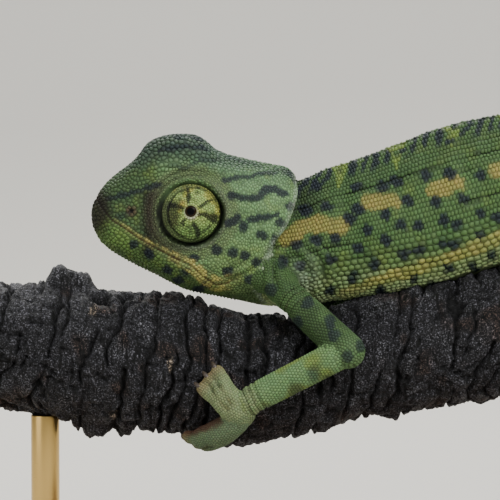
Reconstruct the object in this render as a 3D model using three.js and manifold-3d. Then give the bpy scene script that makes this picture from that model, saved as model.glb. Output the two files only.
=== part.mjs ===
// A flap-necked chameleon, life size, holding on to a short cut length of bough that a plain
// display stand carries. Millimetres, +Z up. The head points along -X and the animal's left side
// faces -Y. The origin is the centre of the underside of the stand's base.

import * as THREE from "three";
import { mergeVertices } from "three/addons/utils/BufferGeometryUtils.js";
import Module from "manifold-3d";

const wasm = await Module();
wasm.setup();

// ---------------------------------------------------------------- driving dimensions

const GAP = 0.3; // clear space between one solid and the next
const FINEST = 0.06; // ripples of the surface smaller than this are left out
const LEFT = -1;
const RIGHT = 1;
const DEGREE = Math.PI / 180;

const EYE = { x: -29.1, y: 6.1, z: 84.2 }; // middle of the left and right eye sockets, y to each side
const VENT_X = 57; // where the trunk passes into the tail

// ---------------------------------------------------------------- curves and closed skins

// A smooth curve through rows of [at, value, value, ...]: cubic pieces whose slope at each row is
// the mean slope of its two neighbours. It returns the values at t, held constant past the ends.
function track(rows) {
  const slope = (i, k) => {
    const a = rows[Math.max(i - 1, 0)];
    const b = rows[Math.min(i + 1, rows.length - 1)];
    return (b[k] - a[k]) / (b[0] - a[0]);
  };
  return (t) => {
    const at = Math.min(Math.max(t, rows[0][0]), rows[rows.length - 1][0]);
    let i = 0;
    while (i < rows.length - 2 && at > rows[i + 1][0]) i += 1;
    const span = rows[i + 1][0] - rows[i][0];
    const u = (at - rows[i][0]) / span;
    return rows[i].slice(1).map((value, n) => {
      const k = n + 1;
      const rise = rows[i + 1][k] - value;
      const m0 = slope(i, k) * span;
      const m1 = slope(i + 1, k) * span;
      return value + u * (m0 + u * (3 * rise - 2 * m0 - m1 + u * (m0 + m1 - 2 * rise)));
    });
  };
}

// The same curve through points at even steps, for t from 0 to 1.
const route = (points) => track(points.map((p, i) => [i / (points.length - 1), ...p]));

// A quarter of an ellipse: 0 at t = 0, level at 1 from t = 1 on.
const rounded = (t) => Math.sqrt(Math.max(0, 1 - (1 - Math.min(Math.max(t, 0), 1)) ** 2));

const mix = (a, b, t) => a + (b - a) * t;
const steps = (count, f) => Array.from({ length: count + 1 }, (_, i) => f(i / count));

// Steps from 0 to 1 that crowd together at both ends, where the skin turns over.
const crowded = (count, f) => steps(count, (t) => f((1 - Math.cos(Math.PI * t)) / 2));

// One closed skin through rings of points. Each end ring is closed by a fan from its own middle,
// unless zipped says that its two halves already meet.
function closedSkin(rings, { zipped = false } = {}) {
  const size = rings[0].length;
  const vertices = rings.flat();
  const faces = [];
  for (let r = 0; r + 1 < rings.length; r += 1) {
    for (let i = 0; i < size; i += 1) {
      const a = r * size + i;
      const b = r * size + ((i + 1) % size);
      faces.push([a, b, a + size], [b, b + size, a + size]);
    }
  }
  if (!zipped) {
    for (const [ring, turn] of [[0, false], [rings.length - 1, true]]) {
      const middle = [0, 1, 2].map((k) => rings[ring].reduce((sum, p) => sum + p[k], 0) / size);
      const centre = vertices.push(middle) - 1;
      for (let i = 0; i < size; i += 1) {
        const edge = [ring * size + i, ring * size + ((i + 1) % size)];
        faces.push(turn ? [edge[0], edge[1], centre] : [edge[1], edge[0], centre]);
      }
    }
  }
  return new THREE.BufferGeometry()
    .setAttribute("position", new THREE.Float32BufferAttribute(vertices.flat(), 3))
    .setIndex(faces.flat());
}

// A three.js geometry as a solid that can be joined and cut, with its faces pointing out.
function solid(geometry) {
  const bare = geometry.clone();
  bare.deleteAttribute("normal");
  bare.deleteAttribute("uv");
  const merged = mergeVertices(bare, 1e-3);
  const position = merged.getAttribute("position").array;
  const index = Array.from(merged.index.array);
  const faces = [];
  for (let i = 0; i < index.length; i += 3) {
    const [a, b, c] = index.slice(i, i + 3);
    if (a !== b && b !== c && c !== a) faces.push(a, b, c);
  }
  const build = (triangles) =>
    new wasm.Manifold(
      new wasm.Mesh({
        numProp: 3,
        vertProperties: new Float32Array(position),
        triVerts: new Uint32Array(triangles),
      }),
    );
  const made = build(faces);
  return made.volume() > 0 ? made : build(faces.reverse());
}

const joined = (...pieces) => pieces.reduce((all, piece) => all.add(piece));
const bodies = (piece) => piece.decompose().sort((a, b) => b.volume() - a.volume());

// What is left of a solid once the others are taken from it, without crumbs.
const cutBy = (piece, ...tools) => bodies(tools.reduce((rest, tool) => rest.subtract(tool), piece))[0];

// The part of a solid on one side of a plane across X, and half a gap away from it.
const before = (piece, x) => piece.trimByPlane([-1, 0, 0], -(x - GAP / 2));
const behind = (piece, x) => piece.trimByPlane([1, 0, 0], x + GAP / 2);

// A limb-like solid: an oval carried along a route and rounded off about its two end points.
// Radii run [across, thick] from start to end, and thick lies towards the direction `towards`.
function limb({ points, radii, towards = [0, 1, 0], sides = 8, count = 7, grow = 0 }) {
  const past = (end, next, r) => {
    const far = Math.hypot(...end.map((v, k) => v - next[k]));
    return end.map((v, k) => v + ((v - next[k]) * r) / far);
  };
  const first = past(points[0], points[1], radii[0][0]);
  const last = past(points.at(-1), points.at(-2), radii.at(-1)[0]);
  const path = route([first, ...points.slice(1, -1), last]);
  const radius = route(radii);
  const ahead = (t) => {
    const [a, b] = [path(Math.max(t - 0.01, 0)), path(Math.min(t + 0.01, 1))];
    return new THREE.Vector3(b[0] - a[0], b[1] - a[1], b[2] - a[2]).normalize();
  };
  const parts = 20;
  const length = Array.from({ length: parts }, (_, i) => {
    const from = path(i / parts);
    return Math.hypot(...path((i + 1) / parts).map((v, k) => v - from[k]));
  }).reduce((sum, part) => sum + part);
  const ends = [0, 1].map((t) => Math.min(0.5, radius(t)[0] / length));
  const rings = crowded(count, (u) => {
    const t = mix(0.002, 0.998, u);
    const [x, y, z] = path(t);
    const close = rounded(t / ends[0]) * rounded((1 - t) / ends[1]);
    const [wide, thick] = radius(t).map((r) => (r + grow) * close);
    const along = ahead(t);
    const side = new THREE.Vector3().crossVectors(along, new THREE.Vector3(...towards)).normalize();
    const up = new THREE.Vector3().crossVectors(side, along).normalize();
    return Array.from({ length: sides }, (_, i) => {
      const turn = (2 * Math.PI * i) / sides;
      const [a, b] = [wide * Math.cos(turn), thick * Math.sin(turn)];
      return [x + side.x * a + up.x * b, y + side.y * a + up.y * b, z + side.z * a + up.z * b];
    });
  });
  return solid(closedSkin(rings));
}

// ---------------------------------------------------------------- bough

// One row for each place along the bough: [x, height of its middle, radius].
const BOUGH = track([
  [-70.5, 64.6, 9.9],
  [-58.9, 63.6, 10.2],
  [-43.4, 61.7, 11.0],
  [-27.9, 59.8, 11.0],
  [-19.4, 58.4, 10.4],
  [-9.8, 59.7, 10.0],
  [-3.4, 61.2, 9.4],
  [3.1, 62.4, 9.8],
  [10.9, 64.2, 10.3],
  [18.6, 65.6, 11.0],
  [34.1, 67.5, 10.6],
  [49.6, 69.3, 9.9],
  [65.1, 71.3, 9.7],
  [74.4, 72.5, 9.5],
]);
const BOUGH_ENDS = [-70.5, 74.4];

// Knots where the bark stands out: [x, direction round the bough in degrees, height, spread].
const KNOTS = [
  [-47.6, 88, 3.6, 3.0],
  [-43.6, -90, 3.6, 2.6],
  [-31.0, 96, 0.9, 4.0],
  [-23.0, -92, 0.9, 4.0],
  [2.2, -90, 0.9, 2.4],
  [31.0, -100, 2.0, 4.0],
  [66.0, 80, 1.6, 3.0],
];

// A point round the bough: `turn` is 0 at the side that `side` names, 90 degrees at the top.
function onBough(x, turn, off, side = LEFT) {
  const [height, radius] = BOUGH(x);
  const reach = radius + off;
  return [x, side * reach * Math.cos(turn * DEGREE), height + reach * Math.sin(turn * DEGREE)];
}

function boughSolid(grow = 0) {
  const ridge = 0.35; // height of the bark's broad ridges
  const sides = 15;
  const rings = steps(27, (t) => {
    const x = mix(BOUGH_ENDS[0] - grow, BOUGH_ENDS[1] + grow, t);
    return Array.from({ length: sides }, (_, i) => {
      const turn = (360 * i) / sides;
      const knots = KNOTS.reduce((sum, [kx, kt, high, wide]) => {
        const round = (((turn - kt + 540) % 360) - 180) * DEGREE * 10;
        return sum + high * Math.exp(-((x - kx) ** 2 + round ** 2) / (wide * wide));
      }, 0);
      const bark = ridge * Math.sin(1.9 * x + 2.2 * Math.sin(turn * DEGREE + 1)) - ridge;
      return onBough(x, turn, grow + knots + bark);
    });
  });
  return solid(closedSkin(rings));
}

// ---------------------------------------------------------------- head

// The head is drawn from the eye: x and z below are from its middle. Going from the muzzle (0)
// to the nape (1), the rows give the height of the crown and of the throat.
const CROWN = track([
  [0, 5.3],
  [0.045, 6.3],
  [0.111, 7.7],
  [0.17, 9.7],
  [0.2, 11.0],
  [0.25, 12.0],
  [0.32, 12.6],
  [0.41, 12.7],
  [0.47, 12.35],
  [0.52, 11.3],
  [0.57, 9.85],
  [0.63, 9.0],
  [0.7, 8.5],
  [0.81, 7.8],
  [0.9, 7.3],
  [0.96, 6.9],
  [1, 5.6],
]);
const THROAT = track([
  [0, -4.8],
  [0.06, -6.0],
  [0.18, -7.8],
  [0.33, -9.7],
  [0.42, -10.9],
  [0.52, -12.1],
  [0.62, -12.7],
  [0.82, -13.7],
  [1, -14.8],
]);
const CROWN_X = [-12.7, 16.1];
const THROAT_X = [-14.2, 11.4];
const MUZZLE_BULGE = 2.3; // how far the lips stand in front of the chin and the nose
const FLAP_EDGE = track([
  [0, 0],
  [0.15, -2.2],
  [0.3, -2.0],
  [0.48, -1.3],
  [0.6, 0],
  [0.75, 0.7],
  [0.89, 0.75],
  [1, 0],
]); // how far the flap's free edge stands behind the line from throat to nape, going up

// Half-widths from muzzle to nape: [along, jaw, cheek, brow, share of the height that the crown
// takes to roof over].
const HEAD_WIDTH = track([
  [0, 2.6, 2.7, 2.2, 0.3],
  [0.12, 3.6, 3.7, 2.8, 0.2],
  [0.25, 4.7, 5.0, 4.0, 0.12],
  [0.4, 5.6, 6.1, 5.0, 0.09],
  [0.55, 6.2, 6.9, 5.2, 0.12],
  [0.7, 6.3, 7.4, 5.0, 0.24],
  [0.85, 5.9, 7.6, 4.8, 0.3],
  [1, 5.2, 7.3, 4.4, 0.3],
]);
const MUZZLE_ROUND = 0.16; // share of the head's length in which the muzzle comes to its width
const CHIN_ROUND = 0.34; // share of the height in which the throat comes to its width
const CROWN_DISH = 0.9; // how far the forehead lies below the two brow ridges
const HEAD_REACH = 14; // usual distance of the head's outline from the eye

// A point of the head's side: s runs from muzzle to nape and h from throat to crown. Between its
// edges the surface is blended from the four edge curves.
function headPoint(s, h, grow = 0) {
  const muzzle = -MUZZLE_BULGE * Math.sin(Math.PI * h) ** 0.9;
  const edges = (1 - s) * muzzle + s * FLAP_EDGE(h)[0];
  const x = mix(mix(...THROAT_X, s), mix(...CROWN_X, s), h) + edges;
  const z = mix(THROAT(s)[0], CROWN(s)[0], h);
  const [jaw, cheek, brow, roof] = HEAD_WIDTH(s);
  const lower = mix(jaw, cheek, Math.min(1, h / 0.5));
  const side = mix(lower, brow, Math.max(0, (h - 0.5) / 0.5) ** 1.6);
  const close = rounded(s / MUZZLE_ROUND) * rounded(h / CHIN_ROUND) * rounded((1 - h) / roof);
  const width = side * close;
  const ridge = Math.sin(Math.PI * Math.min(1, Math.max(0, (s - 0.1) / 0.5)));
  const inner = Math.max(0, 1 - width / (0.8 * brow)) * (h > 0.5 ? 1 : 0);
  const spread = 1 + grow / HEAD_REACH;
  const dished = z - CROWN_DISH * ridge * inner;
  return [EYE.x + x * spread, width + (width > 0 ? grow : 0), EYE.z + dished * spread];
}

function headSolid(grow = 0) {
  const ring = (s, shut = 1, back = 0) => {
    const side = crowded(13, (h) => headPoint(s, h, grow));
    const left = side.map(([x, y, z]) => [x + back, -y * shut, z]);
    const right = side.slice(1, -1).reverse().map(([x, y, z]) => [x + back, y * shut, z]);
    return [...left, ...right];
  };
  const rings = steps(20, (t) => ring(t ** 1.3));
  rings.push(ring(1, 0.86, 0.2), ring(1, 0, -0.4));
  return solid(closedSkin(rings, { zipped: true }));
}

// The line of the lips, from the front to the corner, and the way from there down to the throat.
const MOUTH = [
  [-19.0, 7.0],
  [-14.7, 2.2],
  [-12.6, -0.9],
  [-10.2, -2.3],
  [-8.5, -3.6],
  [-5.9, -5.1],
  [-3.0, -6.6],
  [0.1, -7.9],
  [1.7, -9.3],
  [3.5, -10.9],
  [4.6, -12.0],
  [5.6, -16.5],
];

// A thin upright sheet through the whole head along the line of the lips.
function mouthCut() {
  const upper = MOUTH.map(([x, z]) => [EYE.x + x + GAP * 0.35, EYE.z + z + GAP * 0.35]);
  const lower = MOUTH.map(([x, z]) => [EYE.x + x - GAP * 0.35, EYE.z + z - GAP * 0.35]);
  const corners = [...upper, ...lower.reverse()].map(([x, z]) => new THREE.Vector2(x, z));
  const outline = new THREE.Shape(corners);
  const sheet = new THREE.ExtrudeGeometry(outline, { depth: 30, bevelEnabled: false });
  return solid(sheet.rotateX(Math.PI / 2).translate(0, 15, 0));
}

// ---------------------------------------------------------------- eyes

const TURRET_RADIUS = 4.5; // of the cone of joined lids, where it leaves the socket
const TURRET_REACH = 3.4; // how far it stands out of the socket
const SOCKET_GAP = 0.75; // the fold of soft skin all round it
const PUPIL_RADIUS = 0.85; // of the small opening between the lids
const EYE_TILT = 2 * DEGREE; // the eyes look a little forward of straight sideways

// A solid of revolution on the eye's own axis, set in the socket of one side.
function onEyeAxis(profile, side, segments = 16) {
  const points = profile.map(([r, out]) => new THREE.Vector2(r, out));
  const turned = new THREE.LatheGeometry(points, segments);
  turned.rotateX(side === LEFT ? Math.PI : 0).rotateZ(side * EYE_TILT);
  return solid(turned.translate(EYE.x, side * EYE.y, EYE.z));
}

// The lids: [radius, distance out], a dome with a small flat at the opening.
const turretOut = (r) => TURRET_REACH * (1 - (r / TURRET_RADIUS) ** 2.1) ** 0.72;

function turretSolid(side) {
  const back = [[0, -2.6], [2.6, -2.2], [TURRET_RADIUS, -0.4]];
  const dome = steps(6, (t) => {
    const r = mix(TURRET_RADIUS, PUPIL_RADIUS + 0.2, t ** 0.8);
    return [r, turretOut(r)];
  });
  const opening = [[PUPIL_RADIUS + 0.2, TURRET_REACH - 1.3], [0, TURRET_REACH - 1.3]];
  return onEyeAxis([...back, ...dome, ...opening], side);
}

// The part of the eyeball that the lids leave bare.
function eyeSolid(side) {
  const rim = TURRET_REACH - 0.25;
  const back = [[0, rim - 0.8], [PUPIL_RADIUS, rim - 0.8], [PUPIL_RADIUS, rim]];
  const ball = [...back, [0.5, rim + 0.22], [0, rim + 0.3]];
  return onEyeAxis(ball, side, 12);
}

function socketSolid(side) {
  const wide = TURRET_RADIUS + SOCKET_GAP;
  return onEyeAxis([[0, -2.9], [wide - 1.6, -2.6], [wide, -0.6], [wide + 0.6, 6], [0, 6]], side);
}

// ---------------------------------------------------------------- trunk and neck

// One row for each place along the body: [x, height of the back, height of the belly, half-width].
const TRUNK = track([
  [-21.7, 88.0, 72.3, 3.6],
  [-18.0, 88.6, 69.7, 4.6],
  [-12.7, 89.2, 69.4, 5.1],
  [-8.4, 91.1, 70.2, 5.6],
  [-3.0, 92.8, 70.7, 6.1],
  [2.0, 94.7, 71.4, 6.5],
  [8.0, 96.9, 72.2, 7.0],
  [14.8, 98.8, 74.2, 7.4],
  [22.0, 100.2, 76.8, 7.6],
  [30.0, 101.3, 79.1, 7.5],
  [38.0, 101.4, 80.9, 7.0],
  [45.0, 100.5, 82.2, 6.2],
  [51.0, 99.2, 83.5, 5.3],
  [VENT_X, 96.6, 85.3, 4.3],
  [61.5, 94.4, 86.9, 3.5],
]);
const TRUNK_ENDS = [-21.7, 61.5];

// How wide a section is at height h, from belly (0) to back (1): widest at two fifths of the
// height, with a round belly and a narrow ridge along the spine.
const flank = (h) => Math.sin(Math.PI * h ** 0.75) ** 0.8;

function trunkSolid(grow = 0) {
  const rings = steps(20, (t) => {
    const x = mix(...TRUNK_ENDS, t);
    const [back, belly, wide] = TRUNK(x);
    const side = crowded(10, (h) => [flank(h) * (wide + grow), mix(belly - grow, back + grow, h)]);
    const left = side.map(([y, z]) => [x, -y, z]);
    const right = side.slice(1, -1).reverse().map(([y, z]) => [x, y, z]);
    return [...left, ...right];
  });
  return solid(closedSkin(rings));
}

// ---------------------------------------------------------------- tail

// Behind the vent the tail runs back over the end of the bough and then winds into a coil whose
// radius shrinks by the same share in each turn.
const TAIL_RUN = route([
  [54, 0, 91.9],
  [63, 0, 90.3],
  [72, 0, 88.2],
  [80, 0, 85.6],
  [88, 0.2, 84.2],
]);
const COIL = { x: 88, z: 73.3, radius: 10.9, shrink: 0.135, turns: 1.95, drift: 0.32 };

// A point of the coil, `turn` in radians on from its top.
function coilPoint(turn) {
  const radius = COIL.radius * Math.exp(-COIL.shrink * turn);
  return [
    COIL.x + radius * Math.sin(turn),
    0.2 + COIL.drift * turn,
    COIL.z + radius * Math.cos(turn),
  ];
}

const RUN_SHARE = 0.33; // share of the tail's length before the coil
function tailPoint(t) {
  if (t < RUN_SHARE) return TAIL_RUN(t / RUN_SHARE);
  const all = 2 * Math.PI * COIL.turns;
  const part = ((t - RUN_SHARE) / (1 - RUN_SHARE)) * (1 - Math.exp(-COIL.shrink * all));
  return coilPoint(-Math.log(1 - part) / COIL.shrink);
}

// [share of the length, half-height, half-width]
const TAIL_RADIUS = track([
  [0, 4.6, 4.0],
  [0.1, 3.5, 3.0],
  [0.22, 2.8, 2.4],
  [0.36, 2.35, 2.05],
  [0.5, 1.9, 1.7],
  [0.7, 1.35, 1.25],
  [0.88, 0.8, 0.75],
  [1, 0.4, 0.4],
]);

function tailSolid(from, to, count) {
  const rings = steps(count, (u) => {
    const t = mix(from, to, u);
    const [x, y, z] = tailPoint(t);
    const [a, b] = [tailPoint(Math.max(t - 0.004, 0)), tailPoint(Math.min(t + 0.004, 1))];
    const along = new THREE.Vector3(b[0] - a[0], b[1] - a[1], b[2] - a[2]).normalize();
    const across = new THREE.Vector3(0, 1, 0).addScaledVector(along, -along.y).normalize();
    const up = new THREE.Vector3().crossVectors(along, across);
    const [high, wide] = TAIL_RADIUS(t);
    return Array.from({ length: 10 }, (_, i) => {
      const turn = (2 * Math.PI * i) / 10;
      const [p, q] = [wide * Math.cos(turn), high * Math.sin(turn)];
      return [x + across.x * p + up.x * q, y + across.y * p + up.y * q, z + across.z * p + up.z * q];
    });
  });
  return solid(closedSkin(rings));
}

// ---------------------------------------------------------------- legs and feet

// Each leg, with y as the distance out to its own side. The palm is placed on the bough: x, turn
// round it in degrees. The two bundles of toes close like tongs, one up and one down the side.
const LEGS = {
  fore_left: {
    side: LEFT,
    root: [-17.2, 4.7, 74.4],
    bend: [-5.7, 13.8, 63.9],
    end: [-20.0, 13.0, 56.4],
    palm: [-21.3, -21],
    upper: { to: [-25.0, -5.5], toes: 3 },
    lower: { to: [-27.8, -52], toes: 2 },
  },
  fore_right: {
    side: RIGHT,
    root: [-14.9, 4.7, 74.4],
    bend: [-2.2, 13.4, 67.0],
    end: [-10.4, 12.8, 58.6],
    palm: [-11.8, -16],
    upper: { to: [-14.6, 4], toes: 3 },
    lower: { to: [-17.6, -43], toes: 2 },
  },
  hind_left: {
    side: LEFT,
    root: [50.0, 3.6, 89.4],
    bend: [42.6, 14.0, 80.4],
    end: [53.4, 13.4, 71.4],
    palm: [51.9, 2],
    upper: { to: [49.2, 22], toes: 2 },
    lower: { to: [45.4, -24], toes: 3 },
  },
  hind_right: {
    side: RIGHT,
    root: [50.0, 3.6, 89.4],
    bend: [37.4, 13.8, 79.2],
    end: [43.6, 13.4, 69.6],
    palm: [41.8, 2],
    upper: { to: [39.1, 22], toes: 2 },
    lower: { to: [35.3, -24], toes: 3 },
  },
};

const placed = ([x, out, z], side) => [x, side * out, z];

function upperLeg(leg, grow = 0) {
  const [root, bend] = [placed(leg.root, leg.side), placed(leg.bend, leg.side)];
  const middle = root.map((v, k) => mix(v, bend[k], 0.5));
  return limb({ points: [root, middle, bend], radii: [[2.9, 2.8], [2.55, 2.5], [2.75, 2.65]], grow });
}

function lowerLeg(leg, grow = 0) {
  const [bend, end] = [placed(leg.bend, leg.side), placed(leg.end, leg.side)];
  const [start, middle] = [0.15, 0.5].map((t) => bend.map((v, k) => mix(v, end[k], t)));
  return limb({ points: [start, middle, end], radii: [[2.35, 2.4], [2.3, 2.3], [2.2, 2.1]], grow });
}

// Each foot is a pair of tongs: toes bound together in two bundles.
const BUNDLE = [[1.8, 1.8], [2.35, 2.1], [2.25, 1.85]]; // [across, thick] from the palm to the knuckles
const TOE = { length: 1.5, apart: 1.4, fan: 14 * DEGREE, across: 1.15, thick: 1.1, tip: 0.9 };
const CLAW = { length: 1.0, root: 0.42, tip: 0.25 };

// A bundle of toes from the palm to its knuckles on the bough, with its toes fanned out and a
// claw on each that bends in to the bark.
function bundleSolid(leg, { to, toes }) {
  const [palmX, palmTurn] = leg.palm;
  const [toX, toTurn] = to;
  const at = (t, off) => onBough(mix(palmX, toX, t), mix(palmTurn, toTurn, t), off, leg.side);
  const bundle = limb({
    points: [at(0.12, 2.5), at(0.5, 2.5), at(0.85, 2.0)],
    radii: BUNDLE,
    towards: [0, Math.cos(toTurn * DEGREE) * leg.side, Math.sin(toTurn * DEGREE)],
    sides: 7,
    count: 5,
  });
  const round = BOUGH(toX)[1] * DEGREE; // length of one degree round the bough
  const heading = Math.atan2((toTurn - palmTurn) * round, toX - palmX);
  const pieces = Array.from({ length: toes }, (_, i) => {
    const spread = (i - (toes - 1) / 2) * (toTurn > palmTurn ? -1 : 1);
    const along = heading + spread * TOE.fan;
    const step = (far, off) => {
      const x = toX + far * Math.cos(along) - spread * TOE.apart * Math.sin(heading);
      const up = far * Math.sin(along) + spread * TOE.apart * Math.cos(heading);
      return onBough(x, toTurn + up / round, off, leg.side);
    };
    const toe = limb({
      points: [step(-1.2, 1.6), step(TOE.length * 0.45, 1.6), step(TOE.length, 1.0)],
      radii: [[TOE.across, TOE.thick], [TOE.across, TOE.thick], [TOE.tip, TOE.tip]],
      sides: 5,
      count: 3,
    });
    const tip = TOE.length + 0.4;
    const claw = limb({
      points: [step(tip, 1.15), step(tip + CLAW.length * 0.6, 1.15), step(tip + CLAW.length, 0.55)],
      radii: [[CLAW.root, CLAW.root], [CLAW.root, CLAW.root], [CLAW.tip, CLAW.tip]],
      sides: 4,
      count: 2,
    });
    return joined(toe, claw);
  });
  return joined(bundle, ...pieces);
}

function footSolid(leg) {
  const palm = onBough(...leg.palm, 2.0, leg.side);
  const wrist = placed(leg.end, leg.side);
  const heel = limb({
    points: [wrist, wrist.map((v, k) => mix(v, palm[k], 0.5)), palm],
    radii: [[2.15, 2.0], [2.0, 1.9], [1.9, 1.8]],
    count: 5,
  });
  return joined(heel, bundleSolid(leg, leg.upper), bundleSolid(leg, leg.lower));
}

// ---------------------------------------------------------------- stand

const BASE = { length: 152, width: 84, height: 8, corner: 12, chamfer: 1.2 };
const RODS = { front: -52, rear: 57 }; // places of the two rods along X
const ROD_RADIUS = 2.2;
const COLLAR = { radius: 6, height: 3 };

function baseSolid() {
  const [l, w, r] = [
    BASE.length / 2 - BASE.chamfer,
    BASE.width / 2 - BASE.chamfer,
    BASE.corner - BASE.chamfer,
  ];
  const outline = new THREE.Shape();
  outline.absarc(l - r, w - r, r, 0, Math.PI / 2);
  outline.absarc(-l + r, w - r, r, Math.PI / 2, Math.PI);
  outline.absarc(-l + r, -w + r, r, Math.PI, 1.5 * Math.PI);
  outline.absarc(l - r, -w + r, r, 1.5 * Math.PI, 2 * Math.PI);
  const slab = new THREE.ExtrudeGeometry(outline, {
    depth: BASE.height - 2 * BASE.chamfer,
    bevelThickness: BASE.chamfer,
    bevelSize: BASE.chamfer,
    bevelSegments: 1,
    curveSegments: 4,
  });
  return solid(slab.translate(0, 0, BASE.chamfer));
}

function rodSolid(x) {
  const foot = BASE.height + GAP;
  const top = BOUGH(x)[0];
  const rod = new THREE.CylinderGeometry(ROD_RADIUS, ROD_RADIUS, top - foot, 16);
  return solid(rod.rotateX(Math.PI / 2).translate(x, 0, (top + foot) / 2));
}

function collarSolid(x) {
  const { radius, height } = COLLAR;
  const bore = ROD_RADIUS + GAP;
  const foot = BASE.height + GAP;
  const outside = [[radius, 0], [radius, height - 0.8], [radius - 1, height]];
  const profile = [[bore, 0], ...outside, [bore, height], [bore, 0]];
  const ring = new THREE.LatheGeometry(profile.map(([r, z]) => new THREE.Vector2(r, z)), 14);
  return solid(ring.rotateX(Math.PI / 2).translate(x, 0, foot));
}

// ---------------------------------------------------------------- putting it together

const FINISH = {
  skin: { color: 0x5f7f3a, roughness: 0.62 },
  lids: { color: 0x7c9150, roughness: 0.6 },
  eye: { color: 0x0b0a09, roughness: 0.08 },
  bark: { color: 0x2b2827, roughness: 0.9 },
  plinth: { color: 0x3a2a20, roughness: 0.45 },
  brass: { color: 0xa88a4c, roughness: 0.3, metalness: 1 },
};

const model = new THREE.Group();
const materials = Object.fromEntries(
  Object.entries(FINISH).map(([name, finish]) => [name, new THREE.MeshStandardMaterial(finish)]),
);

function addNode(name, made, finish) {
  const { vertProperties, triVerts, numProp } = made.simplify(FINEST).getMesh();
  const position = new Float32Array((vertProperties.length / numProp) * 3);
  for (let i = 0; i * 3 < position.length; i += 1) {
    position.set(vertProperties.subarray(i * numProp, i * numProp + 3), i * 3);
  }
  const geometry = new THREE.BufferGeometry()
    .setAttribute("position", new THREE.BufferAttribute(position, 3))
    .setIndex(new THREE.BufferAttribute(triVerts, 1));
  geometry.computeVertexNormals();
  const mesh = new THREE.Mesh(geometry, materials[finish]);
  mesh.name = name;
  model.add(mesh);
}

const bough = boughSolid();
const boughRoom = boughSolid(GAP);
const head = headSolid();
const headRoom = headSolid(GAP * 1.4);
const trunk = trunkSolid();
const trunkRoom = trunkSolid(GAP);

// head, parted along the lips
const sockets = [LEFT, RIGHT].map(socketSolid);
const [cranium, jaw] = bodies(cutBy(head, ...sockets).subtract(mouthCut()));
addNode("head", cranium, "skin");
addNode("lower_jaw", jaw, "skin");
[["left", LEFT], ["right", RIGHT]].forEach(([name, side]) => {
  addNode(`eyelids_${name}`, turretSolid(side), "lids");
  addNode(`eye_${name}`, eyeSolid(side), "eye");
});

// neck, trunk and tail
const SPINE_CUTS = { chest: -9.5, belly: 12, pelvis: 38, tail: VENT_X };
const body = cutBy(trunk, headRoom, boughRoom);
addNode("neck", before(body, SPINE_CUTS.chest), "skin");
addNode("chest", before(behind(body, SPINE_CUTS.chest), SPINE_CUTS.belly), "skin");
addNode("belly", before(behind(body, SPINE_CUTS.belly), SPINE_CUTS.pelvis), "skin");
addNode("pelvis", before(behind(body, SPINE_CUTS.pelvis), SPINE_CUTS.tail), "skin");

// [from, to] as shares of the tail's length, and the number of steps between
const TAIL_CUTS = {
  tail_root: [0, 0.33, 8],
  tail_arch: [0.333, 0.53, 9],
  tail_curl: [0.533, 0.72, 9],
  tail_tip: [0.723, 1, 16],
};
for (const [name, [from, to, count]] of Object.entries(TAIL_CUTS)) {
  const length = tailSolid(from, to, count);
  addNode(name, name === "tail_root" ? behind(length, SPINE_CUTS.tail) : length, "skin");
}

// legs: the upper length stops at the body, the lower one at the elbow or knee, the foot at both
// the wrist and the bough
for (const [name, leg] of Object.entries(LEGS)) {
  const upper = upperLeg(leg);
  const lower = lowerLeg(leg);
  addNode(`${name}_upper_leg`, cutBy(upper, trunkRoom, headRoom, boughRoom), "skin");
  addNode(`${name}_lower_leg`, cutBy(lower, upperLeg(leg, GAP), boughRoom), "skin");
  addNode(`${name}_foot`, cutBy(footSolid(leg), lowerLeg(leg, GAP), boughRoom), "skin");
}

// bough and stand
addNode("perch_bough", bough, "bark");
addNode("stand_base", baseSolid(), "plinth");
for (const [name, x] of Object.entries(RODS)) {
  addNode(`stand_rod_${name}`, cutBy(rodSolid(x), boughRoom), "brass");
  addNode(`stand_collar_${name}`, collarSolid(x), "brass");
}

export default model;
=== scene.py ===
import bpy
import numpy as np
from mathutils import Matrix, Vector
from mathutils.bvhtree import BVHTree
from mathutils.kdtree import KDTree


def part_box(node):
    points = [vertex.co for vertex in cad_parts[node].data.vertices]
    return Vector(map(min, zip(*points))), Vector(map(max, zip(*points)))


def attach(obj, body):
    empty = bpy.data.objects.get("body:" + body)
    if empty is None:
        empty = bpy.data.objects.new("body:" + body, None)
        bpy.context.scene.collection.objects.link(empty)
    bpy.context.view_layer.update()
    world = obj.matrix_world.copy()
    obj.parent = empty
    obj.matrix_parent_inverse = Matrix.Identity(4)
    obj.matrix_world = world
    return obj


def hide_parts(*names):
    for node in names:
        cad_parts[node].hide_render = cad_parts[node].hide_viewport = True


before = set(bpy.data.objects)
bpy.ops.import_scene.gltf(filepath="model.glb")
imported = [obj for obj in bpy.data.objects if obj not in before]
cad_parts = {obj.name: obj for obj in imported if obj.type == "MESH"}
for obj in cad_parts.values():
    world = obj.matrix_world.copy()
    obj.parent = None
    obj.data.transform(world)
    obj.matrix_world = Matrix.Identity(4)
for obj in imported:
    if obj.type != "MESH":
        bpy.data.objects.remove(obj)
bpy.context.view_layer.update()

# A flap-necked chameleon, life size, on a cut length of charred bough over a plain display stand.
# Shapes are worked out in millimetres, with the head towards -X and the left side towards -Y.


# ---------------- the animal's form
# The fleshy body under the scales: head, trunk, tail, legs and feet as closed surfaces that run
# into each other. They repeat the CAD solids' sizes, drawn in by the depth of the scaly coat.

LEFT, RIGHT = -1, 1
MM = 0.001
COAT = 0.2  # depth of the scales on the head and trunk
THIN_COAT = 0.12  # depth of the scales on the legs, feet and tail
EYE = np.array([-29.1, 6.1, 84.2])  # middle of the left eye's socket


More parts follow.
